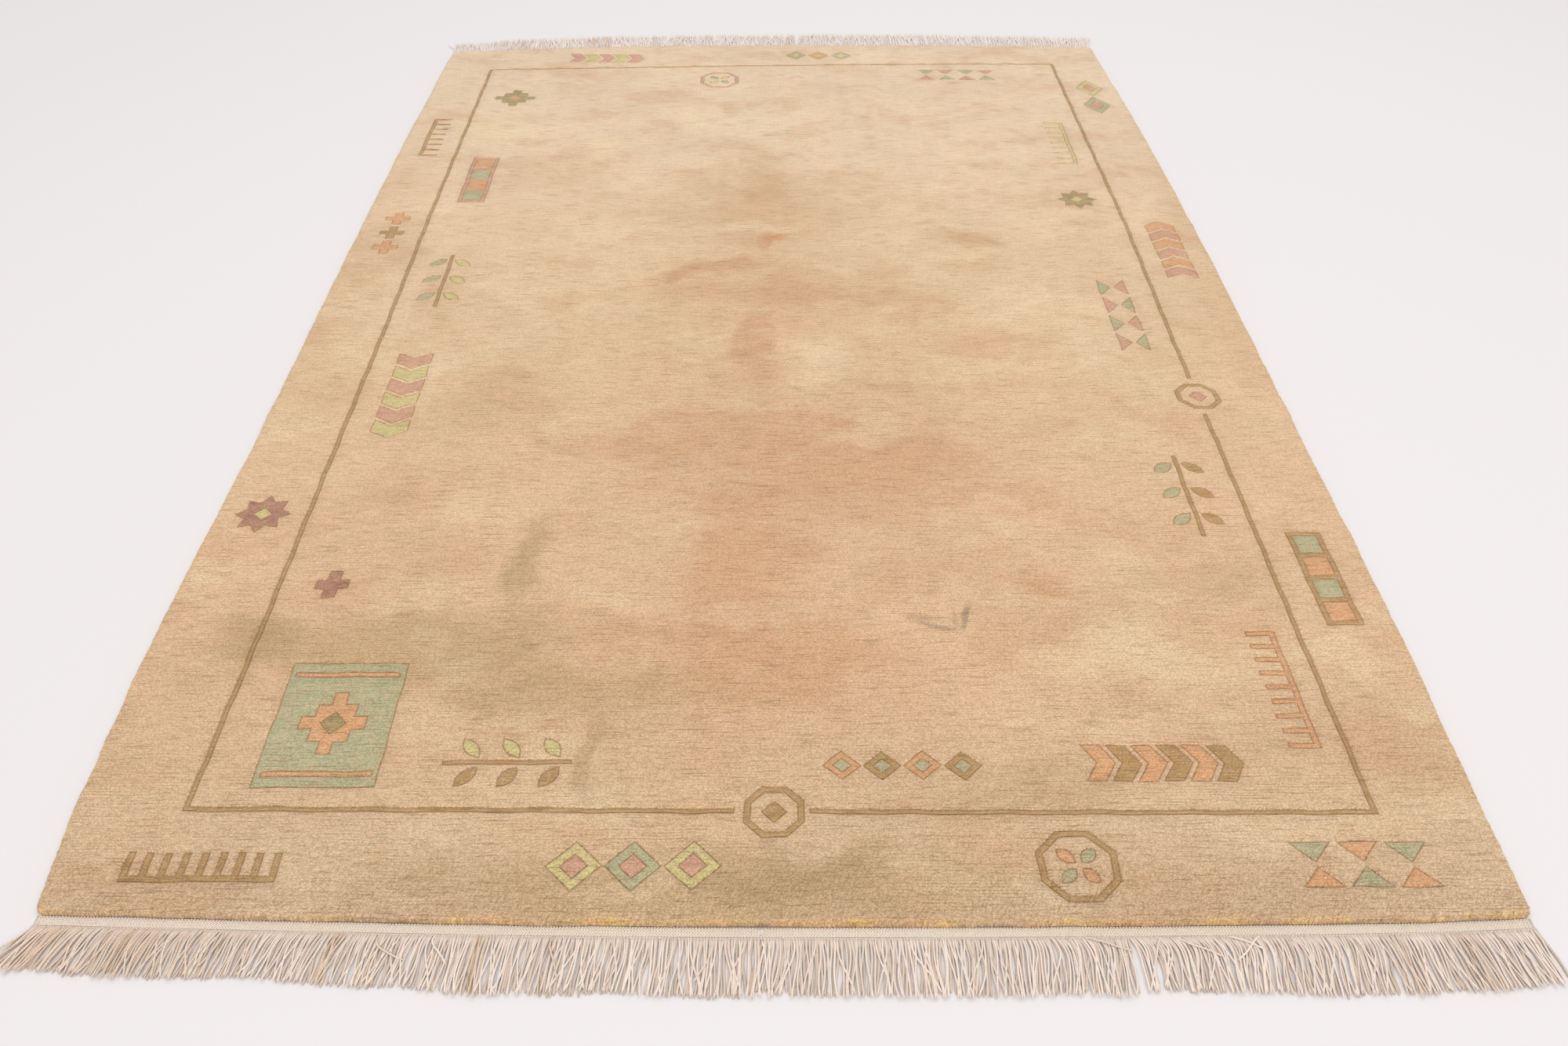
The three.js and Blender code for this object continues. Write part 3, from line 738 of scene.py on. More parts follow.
# %% Values on the points
FRONT_GOLD = table(
    "across gold",
    (0.0, 0.25), (0.08, 0.15), (0.2, 0.35), (0.26, 0.6), (0.32, 0.9), (0.42, 0.95), (0.49, 0.75),
    (0.56, 0.9), (0.6, 0.95), (0.66, 0.7), (0.76, 0.75), (0.86, 0.8), (0.93, 0.95), (0.96, 0.6), (1.0, 0.5),
)
across = (outline[:, 0] - outline[:, 0].min()) / np.ptp(outline[:, 0])
edge_gold = {"right": 0.7, "back": 0.35, "left": 0.7}
outline_gold = np.array([
    read(FRONT_GOLD, "gold", a) if edge == "front" else edge_gold[edge]
    for a, edge in zip(across, outline_edges)
])


def add_values(thing, name, values):
    layer = thing.data.attributes.new(name, "FLOAT", "POINT")
    layer.data.foreach_set("value", np.asarray(values, float))


count = len(pile_points)
carve, foot, gold = np.zeros(count), np.zeros(count), np.zeros(count)
carve[:n_top] = plan_carve
for numbers, (_, _, depth) in zip(ring_numbers, EDGE_LEVELS):
    foot[numbers] = depth
    gold[numbers] = outline_gold
for name, values in (("carve", carve), ("foot", foot), ("gold", gold)):
    add_values(carved_pile, name, values)
print("points in the grooves:", int((carve > 0.5).sum()))

# %% [markdown]
# ## Helpers for materials
# A material is a small tree of nodes. In Blender they are added and joined by hand in the shader editor. A
# few helpers do the same in one line each: a node with its sockets filled, a sum, a mix of two colours, a
# range, a noise. A group is a tree of its own with named inputs and outputs, built once and placed in each
# material that needs the effect.

# %% Node helpers
def node(tree, kind, sockets=None, **settings):
    """Adds a node. A socket is filled with a value, or joined to another node's output."""
    made = tree.nodes.new("ShaderNode" + kind)
    for name, value in settings.items():
        setattr(made, name, value)
    for name, value in (sockets or {}).items():
        if isinstance(value, bpy.types.NodeSocket):
            tree.links.new(value, made.inputs[name])
        else:
            made.inputs[name].default_value = value
    return made


def maths(tree, operation, *values):
    return node(tree, "Math", dict(enumerate(values)), operation=operation).outputs[0]


def product(tree, value, *factors):
    for factor in factors:
        value = maths(tree, "MULTIPLY", value, factor)
    return value


def vector_maths(tree, operation, sockets, out="Vector"):
    return node(tree, "VectorMath", sockets, operation=operation).outputs[out]


def mixed(tree, amount, under_colour, over_colour, blend="MIX"):
    """Two colours mixed. The mix node keeps its colour sockets at 6 and 7, and its colour output at 2."""
    colours = {0: amount, 6: under_colour, 7: over_colour}
    return node(tree, "Mix", colours, data_type="RGBA", blend_type=blend).outputs[2]


def ranged(tree, value, low, high, to_low=0.0, to_high=1.0, steps="SMOOTHSTEP"):
    """A value carried from one range to another, leaving and arriving gently."""
    sockets = {0: value, 1: low, 2: high, 3: to_low, 4: to_high}
    return node(tree, "MapRange", sockets, interpolation_type=steps).outputs[0]


def evenly(tree, *ranges):
    """The same in a straight line."""
    return ranged(tree, *ranges, steps="LINEAR")


def noise_of(tree, vector, scale, detail=2.0, roughness=0.5):
    sockets = {"Vector": vector, "Scale": scale, "Detail": detail, "Roughness": roughness}
    return node(tree, "TexNoise", sockets).outputs


def mark(tree, name):
    """What the mesh's points or corners carry under a name."""
    return node(tree, "Attribute", attribute_name=name).outputs


def stretched(tree, vector, scale):
    return node(tree, "Mapping", {"Vector": vector, "Scale": scale}).outputs[0]


def group(name, inputs, outputs):
    """An empty node group. Inputs give each socket's kind and first value."""
    tree = bpy.data.node_groups.new(name, "ShaderNodeTree")
    for socket, (kind, value) in inputs.items():
        made = tree.interface.new_socket(socket, in_out="INPUT", socket_type="NodeSocket" + kind)
        if value is not None:
            made.default_value = value
    for socket, kind in outputs.items():
        tree.interface.new_socket(socket, in_out="OUTPUT", socket_type="NodeSocket" + kind)
    return tree, tree.nodes.new("NodeGroupInput").outputs, tree.nodes.new("NodeGroupOutput").inputs


def placed_group(tree, name, sockets):
    return node(tree, "Group", sockets, node_tree=bpy.data.node_groups[name]).outputs


def dressed(tree, shader, colour, height, strength, distance):
    """Joins a colour, and a height as a bump, to the shader."""
    tree.links.new(colour, shader.inputs["Base Color"])
    bump = node(tree, "Bump", {"Height": height, "Strength": strength, "Distance": distance})
    tree.links.new(bump.outputs[0], shader.inputs["Normal"])


def material(name, slot_of, roughness, sheen=0.0):
    """A new material with a plain shader, put on the pieces given."""
    made = bpy.data.materials.new(name)
    made.use_nodes = True
    tree = made.node_tree
    tree.nodes.clear()
    shader = tree.nodes.new("ShaderNodeBsdfPrincipled")
    shader.inputs["Roughness"].default_value = roughness
    shader.inputs["Specular IOR Level"].default_value = 0.15
    shader.inputs["Sheen Weight"].default_value = sheen
    shader.inputs["Sheen Roughness"].default_value = 0.6
    out = tree.nodes.new("ShaderNodeOutputMaterial")
    tree.links.new(shader.outputs[0], out.inputs["Surface"])
    for thing in slot_of:
        thing.data.materials.append(made)
    return tree, shader


# %% [markdown]
# ## Groups that several finishes share
# Four effects turn up again and again. "soft wander" pushes a pattern's coordinates about, so nothing ends in
# a ruled line. "old stain" is one soft, uneven blot at a place, size and turn. "knot rows" gives the dark
# broken dashes between the rows of knots, a fine ripple from row to row, and the rows' height. "nap" gives
# each cut tuft its own tone and a rounded crown, from a pattern of cells, and paints shade on the tufts:
# lighter on each crown, darker in the gaps between them.

# %% Group: soft wander
tree, given, result = group(
    "soft wander", {"Vector": ("Vector", None), "Reach": ("Float", 0.03), "Size": ("Float", 5.0)},
    {"Vector": "Vector"})
wide = noise_of(tree, given["Vector"], given["Size"], 3.0, 0.6)["Color"]
centred_wave = vector_maths(tree, "SUBTRACT", {0: wide, 1: (0.5, 0.5, 0.5)})
scaled = vector_maths(tree, "SCALE", {0: centred_wave, "Scale": given["Reach"]})
tree.links.new(vector_maths(tree, "ADD", {0: given["Vector"], 1: scaled}), result["Vector"])

# %% Group: old stain
tree, given, result = group(
    "old stain",
    {"Vector": ("Vector", None), "Middle": ("Vector", (0, 0, 0)), "Turn": ("Vector", (0, 0, 0)),
     "Size": ("Vector", (1, 1, 1)), "Core": ("Float", 0.2), "Strength": ("Float", 0.5),
     "Noise": ("Float", 0.5), "Ragged": ("Float", 1.6)},
    {"Mask": "Float"})
own = node(tree, "Mapping", {
    "Vector": given["Vector"], "Location": given["Middle"], "Rotation": given["Turn"], "Scale": given["Size"],
}, vector_type="TEXTURE").outputs[0]
reach = vector_maths(tree, "LENGTH", {0: own}, "Value")
uneven = maths(tree, "SUBTRACT", given["Noise"], 0.5)
reach = maths(tree, "MULTIPLY_ADD", uneven, given["Ragged"], reach)
fade = ranged(tree, reach, given["Core"], 1.1, 1.0, 0.0)
tree.links.new(product(tree, fade, given["Strength"]), result["Mask"])

# %% Group: knot rows
tree, given, result = group(
    "knot rows",
    {"Vector": ("Vector", None), "Rows per metre": ("Float", 150.0), "Dash length": ("Float", 0.04)},
    {"Dashes": "Float", "Ripple": "Float", "Height": "Float"})
parts = node(tree, "SeparateXYZ", {0: given["Vector"]}).outputs
run = maths(tree, "DIVIDE", parts["X"], given["Dash length"])
drift = noise_of(tree, given["Vector"], 9.0, 2.0, 0.5)[0]
bowed = maths(tree, "MULTIPLY_ADD", drift, 0.009, parts["Y"])
rows_at = product(tree, bowed, given["Rows per metre"])
cell = node(tree, "CombineXYZ", {"X": run, "Y": rows_at}).outputs[0]
streak = noise_of(tree, cell, 1.0, 2.0, 0.5)[0]
fine = noise_of(tree, stretched(tree, cell, (3.1, 1.7, 1)), 1.0, 2.0, 0.6)[0]
dashes = maths(tree, "ADD", ranged(tree, streak, 0.53, 0.68), ranged(tree, fine, 0.55, 0.76, 0.0, 0.6))
tree.links.new(maths(tree, "MINIMUM", dashes, 1.0), result["Dashes"])
tree.links.new(maths(tree, "SINE", product(tree, rows_at, math.pi)), result["Ripple"])
tree.links.new(maths(tree, "SUBTRACT", 1.0, dashes), result["Height"])

# %% Group: nap
tree, given, result = group(
    "nap", {"Vector": ("Vector", None), "Tufts per metre": ("Float", 320.0)},
    {"Tuft tone and shade": "Float", "Height": "Float"})
tuft_at = stretched(tree, given["Vector"], (0.8, 1.1, 1))
tuft = node(tree, "TexVoronoi", {
    "Vector": tuft_at, "Scale": given["Tufts per metre"], "Randomness": 0.85,
}, voronoi_dimensions="2D").outputs
own_tone = node(tree, "SeparateColor", {0: tuft["Color"]}).outputs[0]
crown = ranged(tree, tuft["Distance"], 0.2, 0.7, 1.0, 0.0)
# Each tuft's own tone, with painted shade: lighter on its crown, darker in the gaps between tufts
tuft_tone_and_shade = maths(tree, "MULTIPLY_ADD", own_tone, 0.55, product(tree, crown, 0.45))
tree.links.new(tuft_tone_and_shade, result["Tuft tone and shade"])
tree.links.new(crown, result["Height"])
print("groups:", sorted(made.name for made in bpy.data.node_groups))

# %% [markdown]
# ## The pile's wool
# The beige has aged unevenly. It is paler towards the back, where light fell on it, browner and more olive
# towards the front, and blotched with soft pink, orange and olive stains in the middle. A ramp along the
# rug's length gives the first, and a short table of blots gives the rest. Their coordinates
# wander, so they end as stains end. A painted picture would do as well, but it would fit this one size only.

# %% The pile's fading and stains
RAMP_REACH = 1.6
FADING = [  # distance from the rug's middle towards its back, mm, and the field's colour there
    (-1550, "#c6a686"), (-1380, "#d0b08e"), (-1050, "#d6b28d"), (-500, "#dbb893"),
    (200, "#dfc09d"), (800, "#e3c9a9"), (1550, "#e5cbad"),
]
TINTS = {
    "tan": "#ca9e76", "orange": "#c58e60", "olive": "#ba9b71", "moss": "#a78864", "pale": "#e9d1ae",
    "cream": "#ebd3a9", "grey": "#a38c72",
}
STAINS = [  # tint, middle, half width, half length, turn in degrees, solid core, strength
    ("pale", 120, 1000, 620, 260, 0, 0.1, 0.3),
    ("tan", -10, -100, 420, 760, 0, 0.1, 0.36),
    ("tan", -40, 480, 360, 260, 0, 0.1, 0.46),
    ("tan", -30, 620, 110, 130, 0, 0.2, 0.5),
    ("orange", -24, 300, 60, 28, 0, 0.2, 0.75),
    ("orange", 456, 300, 96, 44, 0, 0.1, 0.45),
    ("tan", -165, 168, 165, 38, 25, 0.3, 0.75),
    ("tan", 0, 95, 80, 120, 0, 0.3, 0.5),
    ("tan", 150, 50, 280, 56, -8, 0.2, 0.55),
    ("tan", -190, 70, 180, 44, 4, 0.2, 0.45),
    ("tan", 240, 180, 90, 60, 0, 0.1, 0.35),
    ("tan", 470, -140, 160, 100, 0, 0.2, 0.5),
    ("tan", -45, -130, 75, 200, 0, 0.3, 0.7),
    ("pale", 108, -205, 90, 120, 0, 0.2, 0.5),
    ("pale", -390, 330, 180, 90, 0, 0.1, 0.4),
    ("pale", 330, 400, 150, 90, 0, 0.1, 0.45),
    ("pale", 590, -60, 150, 130, 0, 0.1, 0.4),
    ("tan", 90, -540, 430, 200, -6, 0.25, 0.72),
    ("tan", -250, -480, 270, 130, 10, 0.1, 0.4),
    ("tan", -80, -850, 150, 260, 0, 0.3, 0.75),
    ("tan", -30, -1060, 300, 170, 0, 0.2, 0.75),
    ("orange", 452, -885, 96, 50, -6, 0.1, 0.6),
    ("tan", 330, -700, 260, 120, 0, 0.1, 0.25),
    ("olive", -620, -1040, 430, 120, 4, 0.25, 0.65),
    ("olive", -330, -1130, 260, 110, 0, 0.1, 0.6),
    ("moss", -448, -850, 44, 150, -4, 0.2, 0.55),
    ("moss", -840, -1030, 120, 80, 0, 0.1, 0.4),
    ("moss", -296, -1260, 26, 90, -10, 0.2, 0.5),
    ("olive", -100, -1460, 560, 70, 0, 0.2, 0.75),
    ("moss", -30, -1440, 190, 60, 0, 0.1, 0.4),
    ("olive", 380, -1290, 200, 70, 0, 0.1, 0.5),
    ("olive", 760, -900, 160, 90, 0, 0.1, 0.3),
    ("olive", -570, -390, 200, 180, 0, 0.1, 0.25),
    ("olive", -740, 90, 90, 170, 0, 0.1, 0.3),
    ("tan", -570, 660, 200, 160, 0, 0.1, 0.25),
    ("tan", -990, 300, 120, 700, 0, 0.1, 0.3),
    ("tan", 1010, 100, 110, 900, 0, 0.1, 0.25),
    ("cream", -450, 800, 90, 80, 0, 0.2, 0.5),
    ("cream", -780, 940, 150, 120, 0, 0.1, 0.5),
    ("cream", -750, -250, 100, 110, 0, 0.2, 0.45),
    ("cream", 600, -1060, 330, 90, 0, 0.1, 0.35),
    ("cream", -240, 1000, 70, 200, 0, 0.1, 0.2),
]
SMUDGES = [  # the L-shaped mark near the front, made by something greasy that was dragged there
    ("grey", 298, -957, 8, 40, -14, 0.4, 0.75),
    ("grey", 279, -966, 6, 28, -8, 0.2, 0.45),
    ("grey", 247, -980, 48, 7, -12, 0.3, 0.7),
    ("moss", 222, -962, 42, 13, -4, 0.2, 0.5),
]

# %% The field: a ramp along the rug, and one blot after another over it
tree, shader = material("carved_wool", [carved_pile], 0.95, sheen=0.12)
at = node(tree, "TexCoord").outputs["Object"]
centred = node(tree, "Mapping", {
    "Vector": at, "Location": (-SHIFT[0] * MM, -SHIFT[1] * MM, 0),
}).outputs[0]
strayed = placed_group(tree, "soft wander", {"Vector": centred, "Reach": 0.2, "Size": 3.2})["Vector"]
strayed = placed_group(tree, "soft wander", {"Vector": strayed, "Reach": 0.05, "Size": 14.0})["Vector"]
length_at = node(tree, "SeparateXYZ", {0: strayed}).outputs["Y"]
ramp = node(tree, "ValToRGB", {0: evenly(tree, length_at, -RAMP_REACH, RAMP_REACH)})
stops = ramp.color_ramp.elements
while len(stops) < len(FADING):
    stops.new(0.5)
for stop, (place, code) in zip(stops, FADING):
    stop.position = (place * MM + RAMP_REACH) / (2 * RAMP_REACH)
    stop.color = solid(code)

flat = vector_maths(tree, "MULTIPLY", {0: strayed, 1: (1, 1, 0)})
crisp = placed_group(tree, "soft wander", {"Vector": centred, "Reach": 0.02, "Size": 18.0})["Vector"]
crisp = vector_maths(tree, "MULTIPLY", {0: crisp, 1: (1, 1, 0)})
ragged = noise_of(tree, stretched(tree, flat, (1, 1.9, 1)), 6.0, 4.5, 0.64)[0]
wool = ramp.outputs[0]
for row, vector, frayed in [(row, flat, 1.35) for row in STAINS] + [(row, crisp, 0.5) for row in SMUDGES]:
    tint, x, y, wide, long, turn, core, strength = row
    mask = placed_group(tree, "old stain", {
        "Vector": vector, "Middle": (x * MM, y * MM, 0), "Turn": (0, 0, math.radians(turn)),
        "Size": (wide * MM, long * MM, 1), "Core": core, "Strength": strength,
        "Noise": ragged, "Ragged": frayed,
    })["Mask"]
    wool = mixed(tree, mask, wool, solid(TINTS[tint]))
print("stains:", len(STAINS) + len(SMUDGES))

# %% [markdown]
# ## Mottling
# Years of feet and cleaning leave no spot quite like the next. Three channels of one noise lay faint tan,
# pale and olive over the wool. Two more noises make it lighter and darker: clouds a hand wide, and narrow
# bands where the weaver began a new batch of yarn.

# %% Mottled tints, clouds and bands
cloud = noise_of(tree, stretched(tree, flat, (1, 1.5, 1)), 2.6, 3.0, 0.62)[0]
blush = noise_of(tree, stretched(tree, flat, (1.1, 2.0, 1)), 4.3, 3.0, 0.62)["Color"]
blush = node(tree, "SeparateColor", {0: blush}).outputs
BLUSHES = [("tan", 0.48, 0.36), ("pale", 0.5, 0.3), ("olive", 0.52, 0.18)]  # tint, where it starts, strength
for channel, (tint, low, strength) in enumerate(BLUSHES):
    mask = ranged(tree, blush[channel], low, low + 0.2, 0.0, strength)
    wool = mixed(tree, mask, wool, solid(TINTS[tint]))
banded = noise_of(tree, stretched(tree, centred, (1, 15, 1)), 8.0, 3.0, 0.6)[0]
shade = evenly(tree, cloud, 0.25, 0.75, 0.93, 1.07)
shade = product(tree, shade, evenly(tree, banded, 0.25, 0.75, 0.97, 1.03))

# %% [markdown]
# ## Dyes and nap
# The dyes were read from the mesh, where each face has its own. They have faded unevenly, and tufts of the
# field stray across the carved lines. Over both come the dark dashes between rows, the tone of single tufts,
# and painted shade: lighter tuft crowns with darker gaps, the same on the slanting tufts along the front edge,
# shade in the grooves, and a painted highlight on the grooves' lips.

# %% Dyes that have faded
dye = mark(tree, "dye")
in_carve = mark(tree, "carve")["Fac"]
in_foot = mark(tree, "foot")["Fac"]
in_gold = mark(tree, "gold")["Fac"]
rows = placed_group(tree, "knot rows", {"Vector": centred, "Rows per metre": 390.0, "Dash length": 0.055})
nap = placed_group(tree, "nap", {"Vector": centred, "Tufts per metre": 380.0})

faded = noise_of(tree, stretched(tree, centred, (1, 1.6, 1)), 45.0, 4.0, 0.7)[0]
kept = product(tree, dye["Alpha"], ranged(tree, faded, 0.25, 0.75, 0.58, 1.0))
stray_tufts = product(tree, in_carve, ranged(tree, nap["Tuft tone and shade"], 0.35, 0.75, 0.85, 0.0))
kept = product(tree, kept, maths(tree, "SUBTRACT", 1.0, stray_tufts))
wool = mixed(tree, kept, wool, dye["Color"])

# %% Painted shade of the tufts at the front edge, rows, nap and grooves
parts = node(tree, "SeparateXYZ", {0: centred}).outputs
slanting = maths(tree, "MULTIPLY_ADD", parts["Y"], -0.45, parts["X"])
falling = maths(tree, "MULTIPLY_ADD", parts["Z"], -1.5, parts["Y"])
tuft_rolls_at = node(tree, "CombineXYZ", {
    "X": product(tree, slanting, 290.0), "Y": product(tree, falling, 90.0),
}).outputs[0]
tuft_rolls = noise_of(tree, tuft_rolls_at, 1.0, 3.0, 0.6)[0]
at_front = ranged(tree, parts["Y"], -1.36, -1.5)
# Along the front edge, slanting tufts are painted lighter on top and darker in the gaps between them: painted
# shade
painted_tuft_roll_shade = evenly(tree, tuft_rolls, 0.3, 0.7, 0.82, 1.16)
painted_tuft_roll_shade = evenly(tree, at_front, 0.0, 1.0, 1.0, painted_tuft_roll_shade)

dash_shade = evenly(tree, rows["Dashes"], 0.0, 1.0, 1.03, 0.77)
# Tufts' own tones with their painted crown shade, stronger towards the front
fleck_strength = evenly(tree, parts["Y"], -1.5, 1.0, 0.58, 0.18)
flecked = product(tree, maths(tree, "SUBTRACT", nap["Tuft tone and shade"], 0.52), fleck_strength)
fleck_shade = maths(tree, "ADD", flecked, 1.05)
# Painted shade deep in the grooves, and a painted highlight on their lips
groove_shade = ranged(tree, in_carve, 0.42, 1.0, 1.0, 0.62)
painted_lip_highlight = ranged(tree, in_carve, 0.01, 0.25, 1.0, 1.06)
row_strength = ranged(tree, noise_of(tree, flat, 5.0, 2.0)[0], 0.35, 0.65, 0.01, 0.05)
row_shade = maths(tree, "MULTIPLY_ADD", rows["Ripple"], row_strength, 1.0)
shade = product(tree, shade, painted_tuft_roll_shade, dash_shade, row_shade, fleck_shade, groove_shade, painted_lip_highlight)

# %% [markdown]
# ## The golden foot
# Wool fades where light falls on it. Low on the edge, where it never did, the first golden yellow is left in
# patches. The darkest spots are also given a warmer colour, because light that bounces between tufts picks
# up their dye.

# %% The foot's gold, warm shadows and the wool's relief
patchy = ranged(tree, noise_of(tree, centred, 9.0, 3.0, 0.6)[0], 0.42, 0.57, 0.1, 1.0)
foot_at = maths(tree, "MULTIPLY_ADD", maths(tree, "SUBTRACT", tuft_rolls, 0.5), 0.7, in_foot)
at_foot = ranged(tree, foot_at, 0.05, 0.5, 0.0, 0.8)
gold_mask = product(tree, at_foot, product(tree, in_gold, patchy))
gold_dye = mixed(tree, ranged(tree, noise_of(tree, centred, 14.0, 2.0)[0], 0.42, 0.58),
                 solid("#e2be74"), solid("#dcae7e"))
wool = mixed(tree, gold_mask, wool, gold_dye)
wool = mixed(tree, 1.0, wool, shade, "MULTIPLY")
depth = evenly(tree, shade, 0.72, 1.08, 1.0, 0.0)
wool = mixed(tree, depth, wool, mixed(tree, 1.0, wool, (1.05, 0.96, 0.84, 1), "MULTIPLY"))
relief = maths(tree, "MULTIPLY_ADD", rows["Height"], 0.4, nap["Height"])
relief = maths(tree, "ADD", relief, product(tree, tuft_rolls, at_front, 3.0))
dressed(tree, shader, wool, relief, 0.8, 0.0013)
print("carved wool:", len(tree.nodes), "nodes")

# %% [markdown]
# ## The underside's finish
# Below, the same dyes show as rows of small knots, greyed by dust. It is a second material on the same mesh,
# given to the underside's faces by their number, as the material list does in edit mode.

# %% The underside's rows of knots
tree, shader = material("knotted_back", [carved_pile], 0.9)
at = node(tree, "TexCoord").outputs["Object"]
rows = placed_group(tree, "knot rows", {"Vector": at, "Rows per metre": 330.0, "Dash length": 0.012})
nap = placed_group(tree, "nap", {"Vector": at, "Tufts per metre": 300.0})
dye = mark(tree, "dye")["Color"]
knots = mixed(tree, evenly(tree, rows["Dashes"], 0.0, 1.0, 0.0, 0.5), dye, solid("#a98f6c"))
# Knot tones with painted shade on their crowns and in the gaps
knots = mixed(tree, 1.0, knots, ranged(tree, nap["Tuft tone and shade"], 0, 1, 0.85, 1.05), "MULTIPLY")
dressed(tree, shader, knots, rows["Height"], 0.6, 0.0012)
underside = np.zeros(len(pile_faces), int)
underside[-len(under_faces):] = 1
carved_pile.data.polygons.foreach_set("material_index", underside)

# %% [markdown]
# ## Cords and yarns as tubes
# The fringe is hundreds of twisted cotton cords, and the tape is knitted from finer yarn. Each is a thin tube
# along its own path. A curve with a bevel would make one, but hundreds of curves are slow, so one helper
# sweeps a small ring of points along many paths at once and closes their ends.

# %% Tubes along many paths
def tubes(paths, radii, sides):
    """Closed tubes along paths, as points, faces, the distance along, and which path each point is on."""
    count, steps = paths.shape[:2]
    ahead = np.gradient(paths, axis=1)
    ahead /= np.linalg.norm(ahead, axis=2, keepdims=True)
    aside = np.cross(ahead, (0, 0, 1.0))
    aside /= np.linalg.norm(aside, axis=2, keepdims=True)
    above = np.cross(aside, ahead)
    angle = 2 * np.pi * np.arange(sides) / sides
    across = aside[:, :, None] * np.cos(angle)[:, None] + above[:, :, None] * np.sin(angle)[:, None]
    points = paths[:, :, None] + across * np.reshape(radii, (count, steps, 1, 1))
    number = np.arange(count * steps * sides).reshape(count, steps, sides)
    a, b = number[:, :-1], number[:, 1:]
    walls = np.stack([a, b, np.roll(b, -1, 2), np.roll(a, -1, 2)], -1).reshape(-1, 4)
    faces = [*walls.tolist(), *number[:, 0].tolist(), *number[:, -1, ::-1].tolist()]
    step_length = np.linalg.norm(np.diff(paths, axis=1), axis=2)
    along = np.concatenate([np.zeros((count, 1)), np.cumsum(step_length, 1)], 1)
    which = np.repeat(np.arange(count), steps * sides)
    return points.reshape(-1, 3), faces, np.repeat(along.ravel(), sides), which


def outward_volume(points, faces):
    """The volume that faces enclose. It is positive where they point outwards."""
    total = 0.0
    for face in faces:
        corners_of = points[face]
        for k in range(1, len(face) - 1):
            total += np.dot(corners_of[0], np.cross(corners_of[k], corners_of[k + 1]))
    return total / 6


# %% [markdown]
# ## How the fringe lies
# A fringe is combed by feet and brooms. Its cords leave the tape side by side, then drift into bundles, and
# whole stretches lean one way. Two tables give, from left to right, the angle at which the cords leave, the
# angle at which they settle, and their length. The front fringe is seen from close by and is dense, so it has
# two layers: an even one of thicker cords on the floor, and a livelier one on top of it. A few strays cross
# their neighbours, and are listed one by one. Hair strands would be quicker, but a part needs real cords.

# %% The fringe's tables
CORDS_PER_END = 476
CORD_RADIUS, LOWER_RADIUS = 1.3, 1.75
LAYERS = {"front": [(0, -0.12), (1, 0.46)], "back": [(1, 0.9)]}  # 0 on the floor or 1 above, and the tone given to its cords: the lower layer is set darker, as painted shade and dust
FRINGE = {
    "front": table(
        "across leave settle length",
        (0.0, -36, -32, 70), (0.03, -26, -20, 66), (0.07, -24, -12, 66), (0.1, -22, -6, 66),
        (0.13, -22, -4, 67), (0.18, -20, -8, 70), (0.25, -12, -6, 75), (0.32, -6, -4, 79),
        (0.4, 0, -5, 80), (0.5, 0, -2, 80), (0.6, 2, -1, 80), (0.645, 8, -6, 80), (0.68, 28, -8, 80),
        (0.71, 18, -8, 80), (0.7225, -2, -6, 78), (0.725, 36, 0, 77), (0.77, 32, -3, 80),
        (0.8, 26, -4, 82), (0.86, 16, -6, 84), (0.92, 12, 2, 84), (0.96, 14, 8, 82), (1.0, 12, 12, 78),
    ),
    "back": table(
        "across leave settle length",
        (0.0, -20, -18, 66), (0.1, -8, -6, 80), (0.2, 4, -10, 84), (0.4, 0, 2, 88), (0.5, -6, 6, 88),
        (0.62, 4, -4, 90), (0.75, 2, 4, 92), (0.88, 8, 2, 86), (1.0, 12, 12, 80),
    ),
}
STRAYS = {  # where it starts, the angle it leaves at, the angle it ends at, and its length
    "front": [
        (0.232, -38, 66, 64), (0.268, -24, 38, 52), (0.694, 62, 74, 66), (0.79, 58, 66, 50),
        (0.812, -56, -46, 54), (0.746, -30, -24, 48), (0.756, 44, 64, 62), (0.128, 30, -30, 58),
        (0.345, -22, 20, 66), (0.872, 34, 10, 60), (0.058, -44, -10, 60), (0.448, 14, -26, 70),
    ],
    "back": [(0.15, 30, -20, 70), (0.42, -32, 10, 74), (0.71, 28, -14, 72)],
}
YELLOWED = {  # where, how far to each side, how strongly
    "front": [(0.02, 0.03, 0.45), (0.075, 0.03, 0.5), (0.115, 0.03, 0.4), (0.205, 0.006, 0.6),
              (0.235, 0.006, 0.3), (0.298, 0.003, 0.7), (0.345, 0.003, 0.6), (0.62, 0.003, 0.35),
              (0.9, 0.005, 0.4), (0.945, 0.01, 0.45)],
    "back": [(0.1, 0.03, 0.45), (0.22, 0.02, 0.5), (0.55, 0.05, 0.2)],
}
CORD_STEPS, CORD_SIDES = 14, 6
ROOT_OUT = TAPE_WIDTH - 4.2


def cord_path(end, root_across, leave, settle, length, wave, rise):
    """One cord from under the tape's rim: its angle turns from the first to the second as it goes."""
    t = np.linspace(0, 1, CORD_STEPS)
    sway = wave * np.sin(2 * np.pi * (0.9 * t + rise))
    angle = np.radians(leave + (settle - leave) * smooth(t * 1.9) + sway)
    step = length / (CORD_STEPS - 1)
    aside = np.concatenate([[0], np.cumsum(np.sin(angle[1:]))]) * step
    out = np.concatenate([[0], np.cumsum(np.cos(angle[1:]))]) * step
    outwards = -1 if end == "front" else 1
    root = end_point(end, np.clip(root_across, 0.0, 1.0))
    return np.stack([root[0] + aside, root[1] + outwards * (ROOT_OUT + out)], 1)


# %% Cords: bundles, waves and strays
BUNDLE_PULL = 0.18
CROSSING_SHARE, CROSSING_TURN = 0.26, (5, 18)
LAYER_RISE, EXTRA_LENGTH, DRIFT = 2.2, 3.5, 2.4
